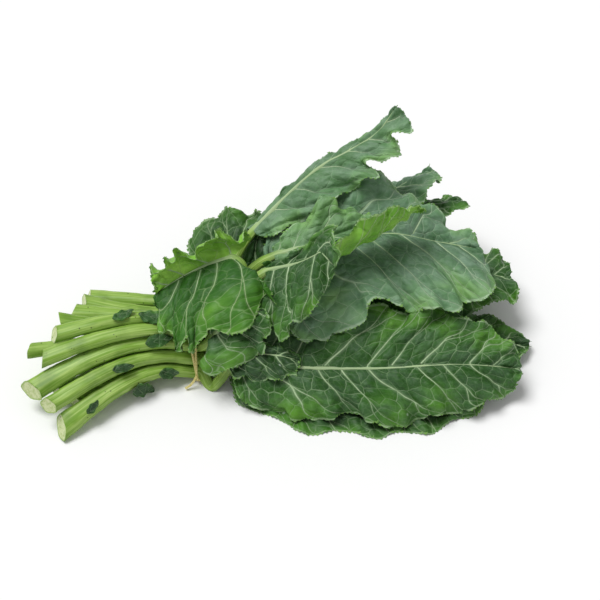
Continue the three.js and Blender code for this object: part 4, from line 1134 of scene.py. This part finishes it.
allLines = []
allMargins = []
for seed, name in enumerate(leafNames):
    piece, lines, margins = leafPiece(name, seed)
    finishLeaf(piece, name + "_blade")
    allLines += lines
    allMargins += margins
    rib = stalkPiece(name, seed)
    rib.data.materials.append(stalkSkin)
    print("leaf", name, len(piece.data.polygons))
veinRidges(allLines, plainSkin("veinSkin"))
marginTeeth(allMargins, plainSkin("toothSkin"))
print("veins %d, margins %d" % (len(allLines), len(allMargins)))
for seed, node in enumerate(n for n in nodes if n.startswith("leaflet")):
    finishLeaf(leafletPiece(node, seed), node)
tie = nodes["tie"]
tie.data.materials.clear()
tie.data.materials.append(plainSkin("tieFibre"))
print("leaflets and tie")


studio = {
    "cameraElevation": 48, "cameraDistance": 1.261, "lens": 85, "target": (0.016, 0.0, 0.045),
    "worldStrength": 0.4, "keyStrength": 2.3, "keyAngle": 0.55, "keyPlace": (-0.4, 0.1, 1.1),
    "keyTarget": (0, 0, 0.05), "floorSize": 80.0, "floorColour": (0.95, 0.95, 0.95, 1),
}


def aim(thing, place, target):
    thing.location = place
    thing.rotation_euler = (Vector(target) - thing.location).to_track_quat("-Z", "Y").to_euler()


def addFloor():
    half = studio["floorSize"] / 2
    corners = [(-half, -half, 0), (half, -half, 0), (half, half, 0), (-half, half, 0)]
    floor = addObject("floor", meshFrom("floor", corners, [], [(0, 1, 2, 3)]))
    floor.data.materials.append(Skin("floorPaper", 0.1).painted(studio["floorColour"], 0.9))


def addLight():
    world = bpy.data.worlds.new("studio")
    world.use_nodes = True
    background = world.node_tree.nodes["Background"].inputs
    background["Color"].default_value = (1, 1, 1, 1)
    background["Strength"].default_value = studio["worldStrength"]
    bpy.context.scene.world = world
    light = bpy.data.lights.new("key", "SUN")
    light.energy = studio["keyStrength"]
    light.angle = studio["keyAngle"]
    aim(addObject("key", light), studio["keyPlace"], studio["keyTarget"])


def addCamera():
    lens = bpy.data.cameras.new("camera")
    lens.lens = studio["lens"]
    camera = addObject("camera", lens)
    elevation = math.radians(studio["cameraElevation"])
    back = Vector((0, -math.cos(elevation), math.sin(elevation)))
    target = Vector(studio["target"])
    aim(camera, target + back * studio["cameraDistance"], target)
    bpy.context.scene.camera = camera
    bpy.context.scene.view_settings.view_transform = "Standard"


addFloor()
addLight()
addCamera()
print("done")
